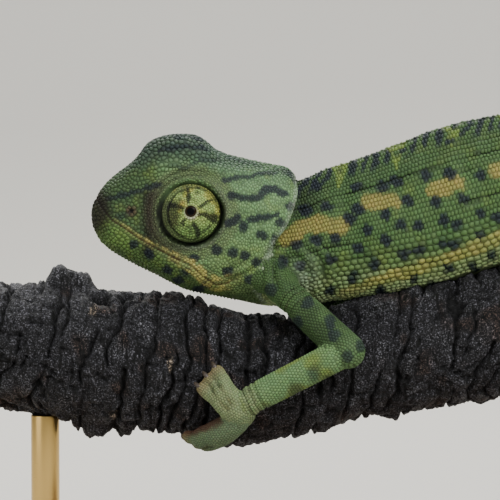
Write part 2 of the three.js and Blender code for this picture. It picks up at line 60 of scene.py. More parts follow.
def track(rows):
    """A smooth curve through rows of [at, value, ...]: on each span a cubic whose slope at either
    end is the mean slope of the two rows around it. Past the ends it keeps its last value."""
    rows = np.asarray(rows, float)
    at, value = rows[:, 0], rows[:, 1:]
    before = np.maximum(np.arange(len(at)) - 1, 0)
    after = np.minimum(np.arange(len(at)) + 1, len(at) - 1)
    slope = (value[after] - value[before]) / (at[after] - at[before])[:, None]

    def curve(t):
        """The curve's values at places t, in one more dimension."""
        t = np.clip(t, at[0], at[-1])
        i = np.clip(np.searchsorted(at, t) - 1, 0, len(at) - 2)
        span = (at[i + 1] - at[i])[..., None]
        u = (t - at[i])[..., None] / span
        rise = value[i + 1] - value[i]
        m0, m1 = slope[i] * span, slope[i + 1] * span
        return value[i] + u * (m0 + u * (3 * rise - 2 * m0 - m1 + u * (m0 + m1 - 2 * rise)))

    return curve


def route(points):
    """The same curve through points at even steps, from 0 to 1."""
    return track([[i / (len(points) - 1), *p] for i, p in enumerate(points)])


def rounded(t):
    """A quarter of a circle: the square root of 1 less the square of what is left to 1."""
    return np.sqrt(np.clip(1 - (1 - np.clip(t, 0, 1)) ** 2, 0, 1))


def mix(a, b, t):
    """The way from a to b by a share t."""
    return a + (b - a) * t


def crowded(count):
    """Steps from 0 to 1 that crowd together at both ends, by half a cosine wave."""
    return (1 - np.cos(np.pi * np.linspace(0, 1, count + 1))) / 2


def full_turn(count):
    """Even angles round a full turn, without the last, which is the first again."""
    return np.linspace(0, 2 * np.pi, count, endpoint=False)


def crossed(*steps):
    """Grids in which each kind of step runs along an axis of its own."""
    return np.meshgrid(*steps, indexing="ij")


def unit(v):
    """Vectors over their own length."""
    return v / np.maximum(np.linalg.norm(v, axis=-1, keepdims=True), 1e-9)


# [x, height of the middle, radius]
BOUGH = track([
    [-70.5, 64.6, 9.9], [-58.9, 63.6, 10.2], [-43.4, 61.7, 11.0], [-27.9, 59.8, 11.0], [-19.4, 58.4, 10.4],
    [-9.8, 59.7, 10.0], [-3.4, 61.2, 9.4], [3.1, 62.4, 9.8], [10.9, 64.2, 10.3], [18.6, 65.6, 11.0],
    [34.1, 67.5, 10.6], [49.6, 69.3, 9.9], [65.1, 71.3, 9.7], [74.4, 72.5, 9.5],
])


def on_bough(x, turn, off, side=LEFT):
    """A point round the bough, `turn` in degrees up from the side that `side` names."""
    x, turn = np.broadcast_arrays(np.asarray(x, float), np.radians(turn))
    height, radius = np.moveaxis(BOUGH(x), -1, 0)
    reach = radius + off
    return np.stack([x, side * reach * np.cos(turn), height + reach * np.sin(turn)], -1)


# the head's outline from the eye, as [share of the way from muzzle to nape, height]
CROWN = track([
    [0, 5.3], [0.045, 6.3], [0.111, 7.7], [0.17, 9.7], [0.2, 11.0], [0.25, 12.0], [0.32, 12.6], [0.41, 12.7],
    [0.47, 12.35], [0.52, 11.3], [0.57, 9.85], [0.63, 9.0], [0.7, 8.5], [0.81, 7.8], [0.9, 7.3], [0.96, 6.9],
    [1, 5.6],
])
THROAT = track([
    [0, -4.8], [0.06, -6.0], [0.18, -7.8], [0.33, -9.7], [0.42, -10.9], [0.52, -12.1], [0.62, -12.7],
    [0.82, -13.7], [1, -14.8],
])
CROWN_X = (-12.7, 16.1)  # from the muzzle to the nape
THROAT_X = (-14.2, 11.4)
MUZZLE_BULGE = 2.3  # how far the lips stand ahead of the chin and the nose
# [share of the height, how far the neck flap's edge stands behind the line from throat to nape]
FLAP_EDGE = track([
    [0, 0], [0.15, -2.2], [0.3, -2.0], [0.48, -1.3], [0.6, 0], [0.75, 0.7], [0.89, 0.75], [1, 0],
])
# [share from muzzle to nape, half-width at jaw, cheek and brow, share of the height that roofs over]
HEAD_WIDTH = track([
    [0, 2.6, 2.7, 2.2, 0.3], [0.12, 3.6, 3.7, 2.8, 0.2], [0.25, 4.7, 5.0, 4.0, 0.12],
    [0.4, 5.6, 6.1, 5.0, 0.09], [0.55, 6.2, 6.9, 5.2, 0.12], [0.7, 6.3, 7.4, 5.0, 0.24],
    [0.85, 5.9, 7.6, 4.8, 0.3], [1, 5.2, 7.3, 4.4, 0.3],
])
MUZZLE_ROUND = 0.16  # share of the length in which the muzzle comes to its width
CHIN_ROUND = 0.34  # share of the height in which the throat comes to its width
CROWN_DISH = 0.9  # how far the forehead lies below the two brow ridges
HEAD_REACH = 14  # usual distance of the outline from the eye


def head_surface(s, h, inset=0.0):
    """A point of the head's side, s from muzzle to nape and h from throat to crown: the blend of
    the four edges of its outline, as wide as its row says, times a quarter round at each edge."""
    crown, throat = CROWN(s)[..., 0], THROAT(s)[..., 0]
    edges = -(1 - s) * MUZZLE_BULGE * np.sin(np.pi * np.clip(h, 0, 1)) ** 0.9 + s * FLAP_EDGE(h)[..., 0]
    x = mix(mix(*THROAT_X, s), mix(*CROWN_X, s), h) + edges
    z = mix(throat, crown, h)
    jaw, cheek, brow, roof = np.moveaxis(HEAD_WIDTH(s), -1, 0)
    lower = mix(jaw, cheek, np.minimum(1, h / 0.5))
    side = mix(lower, brow, np.maximum(0, (h - 0.5) / 0.5) ** 1.6)
    width = side * (rounded(s / MUZZLE_ROUND) * rounded(h / CHIN_ROUND) * rounded((1 - h) / roof))
    ridge = np.sin(np.pi * np.clip((s - 0.1) / 0.5, 0, 1))
    inner = np.clip(1 - width / (0.8 * brow), 0, 1) * (h > 0.5)
    spread = 1 - inset / HEAD_REACH
    z = z - CROWN_DISH * ridge * inner
    return np.stack([EYE[0] + x * spread, np.maximum(width - inset, 0), EYE[2] + z * spread], -1)


# [x, height of the back, height of the belly, half-width]
TRUNK = track([
    [-21.7, 88.0, 72.3, 3.6], [-18.0, 88.6, 69.7, 4.6], [-12.7, 89.2, 69.4, 5.1], [-8.4, 91.1, 70.2, 5.6],
    [-3.0, 92.8, 70.7, 6.1], [2.0, 94.7, 71.4, 6.5], [8.0, 96.9, 72.2, 7.0], [14.8, 98.8, 74.2, 7.4],
    [22.0, 100.2, 76.8, 7.6], [30.0, 101.3, 79.1, 7.5], [38.0, 101.4, 80.9, 7.0], [45.0, 100.5, 82.2, 6.2],
    [51.0, 99.2, 83.5, 5.3], [57.0, 96.6, 85.3, 4.3], [61.5, 94.4, 86.9, 3.5],
])
TRUNK_ENDS = (-21.7, 61.5)


def trunk_surface(x, h, inset=0.0):
    """A point of the trunk's side, h from belly to back: its half-width times the sine of half a
    turn of h to the power 0.75, taken to the power 0.8, which is widest at two fifths of the height."""
    back, belly, wide = np.moveaxis(TRUNK(x), -1, 0)
    across = np.sin(np.pi * np.clip(h, 0, 1) ** 0.75) ** 0.8
    return np.stack([x, across * np.maximum(wide - inset, 0), mix(belly + inset, back - inset, h)], -1)


TAIL_RUN = route([[54, 0, 91.9], [63, 0, 90.3], [72, 0, 88.2], [80, 0, 85.6], [88, 0.2, 84.2]])
COIL = {"x": 88, "z": 73.3, "radius": 10.9, "shrink": 0.135, "turns": 1.95, "drift": 0.32}
RUN_SHARE = 0.33  # share of the tail's length before its coil
# [share of the length, half-height, half-width]
TAIL_RADIUS = track([
    [0, 4.6, 4.0], [0.1, 3.5, 3.0], [0.22, 2.8, 2.4], [0.36, 2.35, 2.05], [0.5, 1.9, 1.7], [0.7, 1.35, 1.25],
    [0.88, 0.8, 0.75], [1, 0.4, 0.4],
])


def tail_line(t):
    """The middle of the tail: a run along a curve, then a spiral whose radius falls by the same
    share for each radian, while it drifts aside."""
    t = np.asarray(t, float)
    whole = 2 * np.pi * COIL["turns"]
    part = np.clip((t - RUN_SHARE) / (1 - RUN_SHARE), 0, 1) * (1 - np.exp(-COIL["shrink"] * whole))
    turn = -np.log(1 - part) / COIL["shrink"]
    radius = COIL["radius"] * np.exp(-COIL["shrink"] * turn)
    coil = np.stack([
        COIL["x"] + radius * np.sin(turn),
        0.2 + COIL["drift"] * turn,
        COIL["z"] + radius * np.cos(turn),
    ], -1)
    return np.where((t < RUN_SHARE)[..., None], TAIL_RUN(t / RUN_SHARE), coil)


def swept(line, radii, turns, towards, step=0.004):
    """Rings round a line: at each place the oval [across, thick], with `thick` towards a fixed
    direction made square to the line."""
    t = radii["at"]
    centre = line(t)
    along = unit(line(np.minimum(t + step, 1)) - line(np.maximum(t - step, 0)))
    side = unit(np.cross(along, towards))
    up = unit(np.cross(side, along))
    a = radii["across"][:, None] * np.cos(turns)
    b = radii["thick"][:, None] * np.sin(turns)
    return centre[:, None] + side[:, None] * a[..., None] + up[:, None] * b[..., None]


def tail_surface(t, turns, inset=0.0):
    """The tail's skin at shares t of its length and angles round it from its right side."""
    high, wide = np.moveaxis(TAIL_RADIUS(t), -1, 0)
    radii = {"at": t, "across": high - inset, "thick": wide - inset}
    return swept(tail_line, radii, np.pi / 2 - turns, (0, 1.0, 0))


def limb_line(points, radii):
    """A limb's middle line and radii, run past both end points by the radius there."""
    points = [np.asarray(p, float) for p in points]
    first = points[0] + unit(points[0] - points[1]) * radii[0][0]
    last = points[-1] + unit(points[-1] - points[-2]) * radii[-1][0]
    line = route([first, *points[1:-1], last])
    t = np.linspace(0, 1, 41)
    length = np.linalg.norm(np.diff(line(t), axis=0), axis=1).sum()
    return line, route(radii), length


def limb_surface(limb, t, turns, inset=0.0):
    """The skin of a limb: ovals along its line that close with a quarter round at both ends."""
    line, radius, length = limb_line(limb["points"], limb["radii"])
    ends = np.minimum(0.5, radius(np.array([0.0, 1.0]))[:, 0] / length)
    close = rounded(t / ends[0]) * rounded((1 - t) / ends[1])
    wide, thick = np.moveaxis(radius(t), -1, 0)
    radii = {"at": t, "across": (wide - inset) * close, "thick": (thick - inset) * close}
    return swept(line, radii, turns, np.asarray(limb.get("towards", (0, 1, 0)), float), step=0.01)


# Each leg's places, with y as the distance out to its own side. The palm is [x, turn round the
# bough in degrees], and so are the knuckles of the two bundles of toes, each with its number of toes.
LEGS = {
    "fore_left": {
        "side": LEFT, "root": (-17.2, 4.7, 74.4), "bend": (-5.7, 13.8, 63.9), "end": (-20.0, 13.0, 56.4),
        "palm": (-21.3, -21), "upper": ((-25.0, -5.5), 3), "lower": ((-27.8, -52), 2),
    },
    "fore_right": {
        "side": RIGHT, "root": (-14.9, 4.7, 74.4), "bend": (-2.2, 13.4, 67.0), "end": (-10.4, 12.8, 58.6),
        "palm": (-11.8, -16), "upper": ((-14.6, 4), 3), "lower": ((-17.6, -43), 2),
    },
    "hind_left": {
        "side": LEFT, "root": (50.0, 3.6, 89.4), "bend": (42.6, 14.0, 80.4), "end": (53.4, 13.4, 71.4),
        "palm": (51.9, 2), "upper": ((49.2, 22), 2), "lower": ((45.4, -24), 3),
    },
    "hind_right": {
        "side": RIGHT, "root": (50.0, 3.6, 89.4), "bend": (37.4, 13.8, 79.2), "end": (43.6, 13.4, 69.6),
        "palm": (41.8, 2), "upper": ((39.1, 22), 2), "lower": ((35.3, -24), 3),
    },
}
BUNDLE = ((1.8, 1.8), (2.35, 2.1), (2.25, 1.85))  # [across, thick] from the palm to the knuckles
LEG_RADII = {  # [across, thick] from one end of each length to the other
    "upper_leg": [(2.9, 2.8), (2.55, 2.5), (2.75, 2.65)],
    "lower_leg": [(2.35, 2.4), (2.3, 2.3), (2.2, 2.1)],
    "heel": [(2.15, 2.0), (2.0, 1.9), (1.9, 1.8)],
}
TOE = {"length": 1.5, "apart": 1.4, "fan": 14, "across": 1.15, "thick": 1.1, "tip": 0.9}
CLAW_LENGTH = 1.0


def joints_of(leg):
    """A leg's shoulder or hip, elbow or knee, and wrist or ankle, on its own side."""
    return [np.array(leg[place]) * (1, leg["side"], 1) for place in ("root", "bend", "end")]


def past_knuckles(leg, name, far, aside, off, turned=0.0):
    """Places about the knuckles of a bundle of toes, unrolled from the bough: `far` on in the
    bundle's heading from the palm, turned by an angle, and `aside` square to the heading."""
    palm_x, palm_turn = leg["palm"]
    (to_x, to_turn), _ = leg[name]
    around = np.radians(BOUGH(np.array(to_x))[1])
    heading = np.arctan2((to_turn - palm_turn) * around, to_x - palm_x)
    along = heading + turned
    x = to_x + far * np.cos(along) - aside * np.sin(heading)
    up = far * np.sin(along) + aside * np.cos(heading)
    return on_bough(x, to_turn + up / around, off, leg["side"])


def leg_pieces(leg):
    """The limbs of one leg and the middle lines of its claws: upper and lower leg, heel, and two
    bundles of toes, each toe turned out from the bundle's heading by its place in the fan."""
    side = leg["side"]
    root, bend, end = joints_of(leg)
    palm_x, palm_turn = leg["palm"]
    palm = on_bough(palm_x, palm_turn, 2.0, side)
    middles = {
        "upper_leg": [root, mix(root, bend, 0.5), bend],
        "lower_leg": [mix(bend, end, 0.15), mix(bend, end, 0.5), end],
        "heel": [end, mix(end, palm, 0.5), palm],
    }
    pieces = {name: {"points": middles[name], "radii": LEG_RADII[name]} for name in middles}
    claws = []
    for name in ("upper", "lower"):
        (to_x, to_turn), toes = leg[name]
        shares = np.array([0.12, 0.5, 0.85])
        back = on_bough(mix(palm_x, to_x, shares), mix(palm_turn, to_turn, shares), [2.5, 2.5, 2.0], side)
        out = (0, np.cos(np.radians(to_turn)) * side, np.sin(np.radians(to_turn)))
        pieces[name + "_bundle"] = {"points": list(back), "radii": BUNDLE, "towards": out}
        full = (TOE["across"], TOE["thick"])
        toe = np.array([-1.2, TOE["length"] * 0.45, TOE["length"]])
        hook = TOE["length"] + 0.4 + CLAW_LENGTH * np.array([-0.6, 0.2, 0.75, 1.0])
        for i in range(toes):
            spread = (i - (toes - 1) / 2) * (-1 if to_turn > palm_turn else 1)
            aside, turned = spread * TOE["apart"], spread * np.radians(TOE["fan"])
            pieces[f"{name}_toe_{i}"] = {
                "points": list(past_knuckles(leg, name, toe, aside, (1.6, 1.6, 1.0), turned)),
                "radii": [full, full, (TOE["tip"], TOE["tip"])],
            }
            claws.append(list(past_knuckles(leg, name, hook, aside, (1.25, 1.3, 0.95, 0.35), turned)))
    return pieces, claws


def ring_faces(rings, around):
    """Quads between rings of points, in the order that faces outwards with the rings' own turn."""
    i, j = crossed(np.arange(rings - 1), np.arange(around))
    a, b = i * around + j, i * around + (j + 1) % around
    return np.stack([a, b, b + around, a + around], -1).reshape(-1, 4)


def volume(points, groups):
    """Six times the volume inside closed faces: the sum of the triple products of their fans."""
    total = 0.0
    for faces in groups:
        first = points[faces[:, 0]]
        for k in range(1, faces.shape[1] - 1):
            total += np.einsum("ij,ij->", first, np.cross(points[faces[:, k]], points[faces[:, k + 1]]))
    return total


def closed(grid):
    """Points and faces of rings (ring, place, xyz) as one closed surface: each end is a fan about
    the middle of its ring. A negative volume turns every face over."""
    rings, around = grid.shape[:2]
    points = np.concatenate([grid.reshape(-1, 3), grid[0].mean(0)[None], grid[-1].mean(0)[None]])
    j = np.arange(around)
    k = (j + 1) % around
    low = np.full(around, rings * around)
    last = (rings - 1) * around
    fans = np.concatenate([np.stack([k, j, low], -1), np.stack([last + j, last + k, low + 1], -1)])
    groups = [ring_faces(rings, around), fans]
    if volume(points, groups) < 0:
        groups = [faces[:, ::-1] for faces in groups]
    return points, groups


def two_sided(half):
    """Both sides of a half surface (row, place, xyz) with y from 0: the left side up, the right down."""
    left = half * np.array([1, -1, 1])
    return np.concatenate([left, half[:, -2:0:-1]], axis=1)


def build_mesh(name, points, groups, colour=None, unwrap=None):
    """A smooth mesh object in metres from points in millimetres and groups of faces, each group an
    array of corners. `colour` gives each point its linear colour, `unwrap` its place on OFBake."""
    mesh = bpy.data.meshes.new(name)
    loops = np.concatenate([faces.ravel() for faces in groups]).astype(np.int32)
    corners = np.concatenate([np.full(len(faces), faces.shape[1]) for faces in groups])
    mesh.vertices.add(len(points))
    mesh.vertices.foreach_set("co", (np.asarray(points) * MM).astype(np.float32).ravel())
    mesh.loops.add(len(loops))
    mesh.loops.foreach_set("vertex_index", loops)
    mesh.polygons.add(len(corners))
    starts = np.cumsum(corners) - corners
    mesh.polygons.foreach_set("loop_start", starts.astype(np.int32))
    mesh.update(calc_edges=True)
    mesh.shade_smooth()
    if colour is not None:
        layer = mesh.color_attributes.new("pigment", "FLOAT_COLOR", "POINT")
        solid = np.column_stack([colour, np.ones(len(points))])
        layer.data.foreach_set("color", solid.astype(np.float32).ravel())
    if unwrap is not None:
        layer = mesh.uv_layers.new(name="OFBake")
        layer.data.foreach_set("uv", unwrap[loops].astype(np.float32).ravel())
    made = bpy.data.objects.new(name, mesh)
    bpy.context.scene.collection.objects.link(made)
    return made


def merged(parts):
    """Several closed surfaces as one set of points and groups of faces."""
    points, groups, count = [], {}, 0
    for some, faces in parts:
        points.append(some)
        for group in faces:
            groups.setdefault(group.shape[1], []).append(group + count)
        count += len(some)
    return np.concatenate(points), [np.concatenate(group) for group in groups.values()]


def read_mesh(mesh):
    """Points in millimetres and quads of an all-quad mesh."""
    points = np.empty(len(mesh.vertices) * 3, np.float32)
    mesh.vertices.foreach_get("co", points)
    corners = np.empty(len(mesh.loops), np.int32)
    mesh.loops.foreach_get("vertex_index", corners)
    return points.reshape(-1, 3).astype(float) / MM, corners.reshape(-1, 4)


# Every surface of the body, with the grid it was made on, so that a place on the skin can later be
# told by the surface, the share along it and the share round it.
surfaces = {}
HEAD_PART, TRUNK_PART, TAIL_PART = 0, 1, 2  # the first surfaces; the legs' follow


def add_surface(name, grid, along, around):
    """Keeps a surface's grid of points with the shares along and round it of its rows and columns."""
    surfaces[name] = {"grid": grid, "along": along, "around": around}


def both_ways(half_steps):
    """Shares round a two-sided surface, from steps up one of its sides."""
    return np.concatenate([half_steps / 2, 1 - half_steps[-2:0:-1] / 2])


# the head, closer at the muzzle, and behind it two rings that close it inside the neck
s_steps = np.linspace(0, 1, 110) ** 1.3
h_steps = crowded(70)
head_half = head_surface(*crossed(s_steps, h_steps), COAT)
nape = head_half[-1:] * np.array([1, 0.86, 1]) + np.array([0.2, 0, 0])
nape_inside = head_half[-1:] * np.array([1, 0, 1]) + np.array([-0.4, 0, 0])
head_grid = two_sided(np.concatenate([head_half, nape, nape_inside]))
add_surface("head", head_grid, np.concatenate([s_steps, [1, 1]]), both_ways(h_steps))

trunk_steps, trunk_h = np.linspace(0, 1, 170), crowded(54)
trunk_x = np.linspace(*TRUNK_ENDS, len(trunk_steps))
trunk_grid = two_sided(trunk_surface(*crossed(trunk_x, trunk_h), COAT))
add_surface("trunk", trunk_grid, trunk_steps, both_ways(trunk_h))

round_steps = full_turn(28)
tail_steps = np.linspace(0, 1, 420)
add_surface("tail", tail_surface(tail_steps, round_steps, THIN_COAT), tail_steps, round_steps / (2 * np.pi))

claw_lines = []
for leg_name, leg in LEGS.items():
    pieces, claws = leg_pieces(leg)
    claw_lines += claws
    for piece_name, limb in pieces.items():
        limb_steps = crowded(40)
        limb_grid = limb_surface(limb, mix(0.002, 0.998, limb_steps), round_steps, THIN_COAT)
        add_surface(f"{leg_name}_{piece_name}", limb_grid, limb_steps, round_steps / (2 * np.pi))


# the flank: rows of scales over the trunk's arc from belly to back, and how tall they stand beside
# the upper ones, as [height shares], [room]
FLANK_ROWS = 36
MIDDLE = 220  # of the trunk's sections below, the one that stands for all
ROW_ROOM = ((0.05, 0.1, 0.32, 0.42), (1, 1.25, 1.25, 1))
flank_x = np.linspace(*TRUNK_ENDS, 400)
flank_h = np.linspace(0, 1, 200)
section = trunk_surface(*crossed(flank_x, flank_h), COAT)
section_arc = np.linalg.norm(np.diff(section, axis=1), axis=2).cumsum(1)
flank_girth = section_arc[:, -1]
# rows passed at each height share, as a share of all, and the room of a row of even height
middle_arc = section_arc[MIDDLE]
passed = np.diff(middle_arc, prepend=0) / np.interp(flank_h[1:], *ROW_ROOM)
flank_arc = np.concatenate([[0], passed.cumsum() / passed.sum()])
even_room = passed.sum() / middle_arc[-1] / FLANK_ROWS


# ---------------- markings
# The animal's own colours: leaf green, blue-black spots in rows, straw-yellow patches along the
# flank, a pale edge to the neck flap and brown soles, with painted shade in folds, creases and
# hollows, under the jaw and behind the neck flap, and painted light on the lower flank. Skin and
# scales carry the same ones.

# the ground and the markings that more than one part has, then the head's, the trunk's, the legs'
# and the lids' own, colours of painted shade among them
GREEN, LIME, YELLOW, SPOT = "#496438", "#6e7c32", "#8d8344", "#131a26"
CHEEK, CASQUE, SNOUT, JAW = "#69895a", "#37463e", "#3a4f2e", "#5f7b3c"
TEMPLE, JAW_UNDERSIDE_SHADE, CROWN_GREEN, BLOTCH = "#567353", "#33432a", "#2d3d27", "#3b4c30"
LID_FOLD, FOLD_GROOVE_SHADE, EYE_CORNER, EYE_SHADE, EYE_BACK = "#5f6f48", "#242a1c", "#1b1d14", "#3a3226", "#55584b"
PALE, BELLY, LIP, GAPE, TIP = "#909c88", "#a2b480", "#aaa35c", "#4d2f17", "#1f1711"
NOSTRIL_RIM, NOSTRIL_SHADOW = "#4a3a2c", "#0c0c0a"
LEAF, FLAP_SHADOW, BACK, WEDGE, STRAW, CREASE_SHADE_AND_DIRT = "#3c592f", "#2c3d22", "#2d4226", "#6f8438", "#9a9650", "#1f2a18"
ARM, FOREARM, FOOT, SOLE = "#354a29", "#658355", "#7d8b62", "#4a2c22"
SHOULDER, FOOT_BLOTCH, GRIP, TOE_TIP = "#36502c", "#5d6e4e", "#52654a", "#7a6043"
TOE_GAP, JOINT_CREASE_SHADE = "#5a4c2e", "#3c4228"
LID, LID_YELLOW, LID_DARK, SOCKET_SHADOW = "#8ea55c", "#a8a94e", "#10150d", "#14170f"
LID_GREEN, LID_BROWN_AND_SHADE, LID_ORANGE, LID_SPOT = "#557a42", "#34351e", "#8f6a35", "#2c3a22"
LID_OUTER, LID_REAR, LID_FOOT_SHADE, LID_LIP = "#5c6a45", "#39462a", "#2a331c", "#b4b39a"

# stripes on the head as half-width, strength and [x, z] from the eye
STRIPES = [
    (0.4, 0.85, [(5.2, 5.0), (5.7, 5.3), (8.4, 5.5), (11.2, 6.1), (13.6, 6.5), (15.3, 5.8), (16.0, 4.8)]),
    (0.6, 0.9, [(5.9, 2.7), (7.8, 2.2), (10.2, 2.4), (11.5, 3.5), (12.9, 3.7), (14.2, 2.9)]),
    (0.55, 0.9, [(5.5, -1.7), (7.2, -0.7)]),
    (0.55, 0.9, [(9.1, -1.0), (10.8, -0.7), (13.0, -0.3)]),
    (0.42, 0.8, [(-12.8, 2.1), (-9.7, 2.9), (-6.8, 4.0), (-4.8, 4.3)]),
    (0.32, 0.8, [(-4.9, 9.4), (-2.6, 9.9), (0.0, 10.1), (2.4, 9.7)]),
    (0.26, 0.6, [(-3.2, 6.9), (-0.6, 7.1), (1.3, 8.0), (4.1, 8.2)]),
    (0.45, 0.5, [(-11.5, -0.7), (-8.7, 0.1)]),
    (0.4, 0.5, [(-15.1, 3.4), (-12.8, 6.2), (-9.7, 8.3), (-7.5, 10.0)]),
    (0.3, 0.7, [(5.5, 8.2), (8.0, 7.6), (10.6, 7.0)]),
    (0.7, 0.85, [(-2.4, 11.9), (-0.8, 12.1), (0.9, 11.5)]),
    (0.4, 0.6, [(-7.0, 10.8), (-5.0, 11.7), (-2.2, 12.1)]),
]
HEAD_SPOTS = [
    (8.0, -1.9), (10.8, -3.3), (12.7, -4.1), (3.7, -5.5), (6.3, -5.9), (8.2, -6.4), (9.9, -7.5),
    (5.5, -8.9), (8.9, -10.1), (0.4, -6.9), (-3.6, -8.9), (-0.8, -9.0), (-2.1, -10.4), (0.9, -12.0),
    (2.1, -11.0), (-6.6, -6.4), (-9.0, -5.0), (15.2, 1.1), (13.8, -1.6), (-2.4, -7.2),
]
# on the flank and the left foreleg, as [x, z] of the model
FLANK_SPOTS = [
    (-3.9, 88.2), (0.2, 88.2), (2.3, 89.1), (6.8, 89.9), (10.2, 90.2), (15.0, 89.9), (-9.8, 88.3),
    (-8.4, 85.2), (-11.6, 84.5), (-3.7, 84.8), (-5.0, 83.4), (4.0, 86.0), (0.6, 83.9), (-2.2, 81.7),
    (2.8, 82.3), (5.4, 82.2), (8.2, 85.7), (12.2, 86.5), (9.3, 83.1), (11.3, 82.6), (15.0, 84.2),
    (17.5, 83.7), (-13.0, 79.4), (-9.8, 80.0), (-7.1, 80.3), (-3.7, 78.7), (0.5, 80.0), (-7.9, 77.0),
    (-0.8, 76.3), (3.1, 77.8), (5.7, 78.6), (9.0, 79.5), (11.0, 79.2), (14.7, 80.9), (-15.2, 76.6),
    (-12.4, 75.8), (-4.7, 74.4), (-7.9, 72.2), (0.2, 72.2), (5.0, 74.1), (10.1, 75.8), (7.9, 73.0),
    (14.1, 76.0), (16.9, 77.7),
]
PATCHES = [
    [(-14.6, 80.2), (-12.4, 81.8), (-9.3, 82.6), (-6.0, 81.9)], [(-2.0, 85.9), (2.0, 85.9)],
    [(7.9, 87.6), (11.6, 88.6)], [(17.4, 90.6), (21.4, 91.6)], [(27.2, 92.3), (30.6, 92.8)],
    [(37.0, 93.2), (40.2, 93.2)], [(46.6, 92.4), (49.2, 92.0)],
]
LOW_STRIPE = [
    (-5.7, 71.8), (0.0, 73.9), (6.2, 76.1), (9.3, 77.0), (13.9, 78.7), (17.5, 80.4), (24, 83.0),
    (31, 85.2), (39, 86.9), (46, 87.6),
]
ARM_SPOTS = [
    (-12.9, 68.0), (-8.2, 68.0), (-7.6, 66.3), (-3.7, 64.6), (-5.6, 63.1), (-8.5, 59.1), (-13.3, 58.1),
    (-10.5, 60.8), (-17.2, 54.7), (-16.9, 72.5), (-11.4, 70.9),
]
SPOT_RADIUS = 0.92
BAR_STEP = 1.95  # apart the dark bars along the back
WEDGE_STEP = 8.6  # apart the lighter wedges between them
# the flank's spots behind the shoulders' own ones: apart, and the height shares of their rows
REAR_STEP = 3.5
REAR_ROWS = (0.08, 0.26, 0.4, 0.55, 0.74)

# lines of the head's form, as [x, z] from the eye
NOSTRIL = (-9.2, 0.3)
LIPS = [
    (-14.7, 2.2), (-13.9, 0.8), (-12.2, -1.2), (-10.2, -2.4), (-8.5, -3.6), (-5.9, -5.1), (-3.0, -6.6),
    (0.1, -8.1), (1.7, -9.6), (3.7, -11.0), (5.2, -10.8), (6.8, -10.1),
]
CREST_RIDGE = [
    (-9.5, 6.0), (-6.5, 7.1), (-3.0, 7.3), (0.5, 7.2), (4.5, 6.6), (8.0, 6.2), (12.0, 6.0), (15.2, 5.0),
]


def linear(code):
    """A hex colour in linear light: each part over 12.92 when small, else raised to 2.4."""
    part = np.array([int(code[i:i + 2], 16) for i in (1, 3, 5)]) / 255
    return np.where(part <= 0.04045, part / 12.92, ((part + 0.055) / 1.055) ** 2.4)


def painted(colour, layers):
    """A colour, or one for each point, moved towards the hex colour of each layer in turn by the
    layer's share at each point."""
    for code, share in layers:
        colour = mix(colour, linear(code), np.clip(share, 0, 1)[:, None])
    return colour


def noise(p, seed=0):
    """Smooth random values from -1 to 1, a new one for each unit of length: hashed values at the
    eight corners of a cell, blended with a smooth step."""
    cell = np.floor(p).astype(np.int64)
    f = p - cell
    f = f * f * (3 - 2 * f)
    total = 0
    for corner in np.ndindex(2, 2, 2):
        key = ((cell + corner) * (73856093, 19349663, 83492791)).sum(-1) + seed * 7919
        key = (key ^ (key >> 13)) * 1274126177
        key = (key ^ (key >> 16)) & 0xFFFF
        weight = np.where(corner, f, 1 - f).prod(-1)
        total = total + weight * (key / 32767.5 - 1)
    return total


def bump(distance, width):
    """A rounded ridge: e to the minus square of the distance over the width."""
    return np.exp(-((distance / width) ** 2))


def step_up(value, low, high):
    """0 below low, 1 above high, and a smooth step between."""
    t = np.clip((value - low) / (high - low), 0, 1)
    return t * t * (3 - 2 * t)


def step_down(value, low, high):
    """1 below low, 0 above high, and a smooth step between."""
    return 1 - step_up(value, low, high)


def patchy(points, often, seed, low, high):
    """Smooth patches from 0 to 1, `often` of them to a millimetre."""
    return step_up(noise(points * often, seed), low, high)


def wavering(points, often, seed):
    """A smooth random way aside in the side view, from -1 to 1 both ways."""
    return np.column_stack([noise(points * often, seed), noise(points * often, seed + 1)])


def to_line(at, line):
    """Distance of points from a bent line, and how far along it they lie (0 to 1)."""
    line = np.asarray(line, float)
    a, b = line[:-1], line[1:]
    run = np.linalg.norm(b - a, axis=1)
    offset = at[:, None] - a
    t = np.clip((offset * (b - a)).sum(-1) / run ** 2, 0, 1)
    gap = np.linalg.norm(offset - t[..., None] * (b - a), axis=-1)
    best = gap.argmin(1)
    row = np.arange(len(at))
    along = (np.concatenate([[0], np.cumsum(run)[:-1]])[best] + t[row, best] * run[best]) / run.sum()
    return gap[row, best], along


def to_spots(at, spots, tall=1.0):
    """Distance of points from the nearest of some spots, which are `tall` times as high as wide."""
    offset = (at[:, None] - np.asarray(spots)) / (1, tall)
    return np.linalg.norm(offset, axis=-1).min(1)


def from_eye(points):
    """Places in the side view from the eye, the distance from its axis and the angle round it,
    with 0 ahead and a quarter turn up."""
    at = points[:, [0, 2]] - EYE[[0, 2]]
    return at, np.hypot(*at.T), np.arctan2(at[:, 1], -at[:, 0])


def over_ridge(at):
    """How high places in the side view lie over the ridge of the casque."""
    return at[:, 1] - np.interp(at[:, 0], *np.transpose(CREST_RIDGE))


def from_nostril(at):
    """Distance of places in the side view from the nostril."""
    return np.hypot(*(at - NOSTRIL).T)


def from_socket(r, turn):
    """Distance from the eye's axis, counted longer above the eye, where the socket is tight, and
    shorter ahead of it, where it gapes."""
    return r + 0.3 * step_up(np.sin(turn), 0.1, 0.8) - 0.32 * step_up(np.cos(turn - 0.1), 0.35, 0.9)


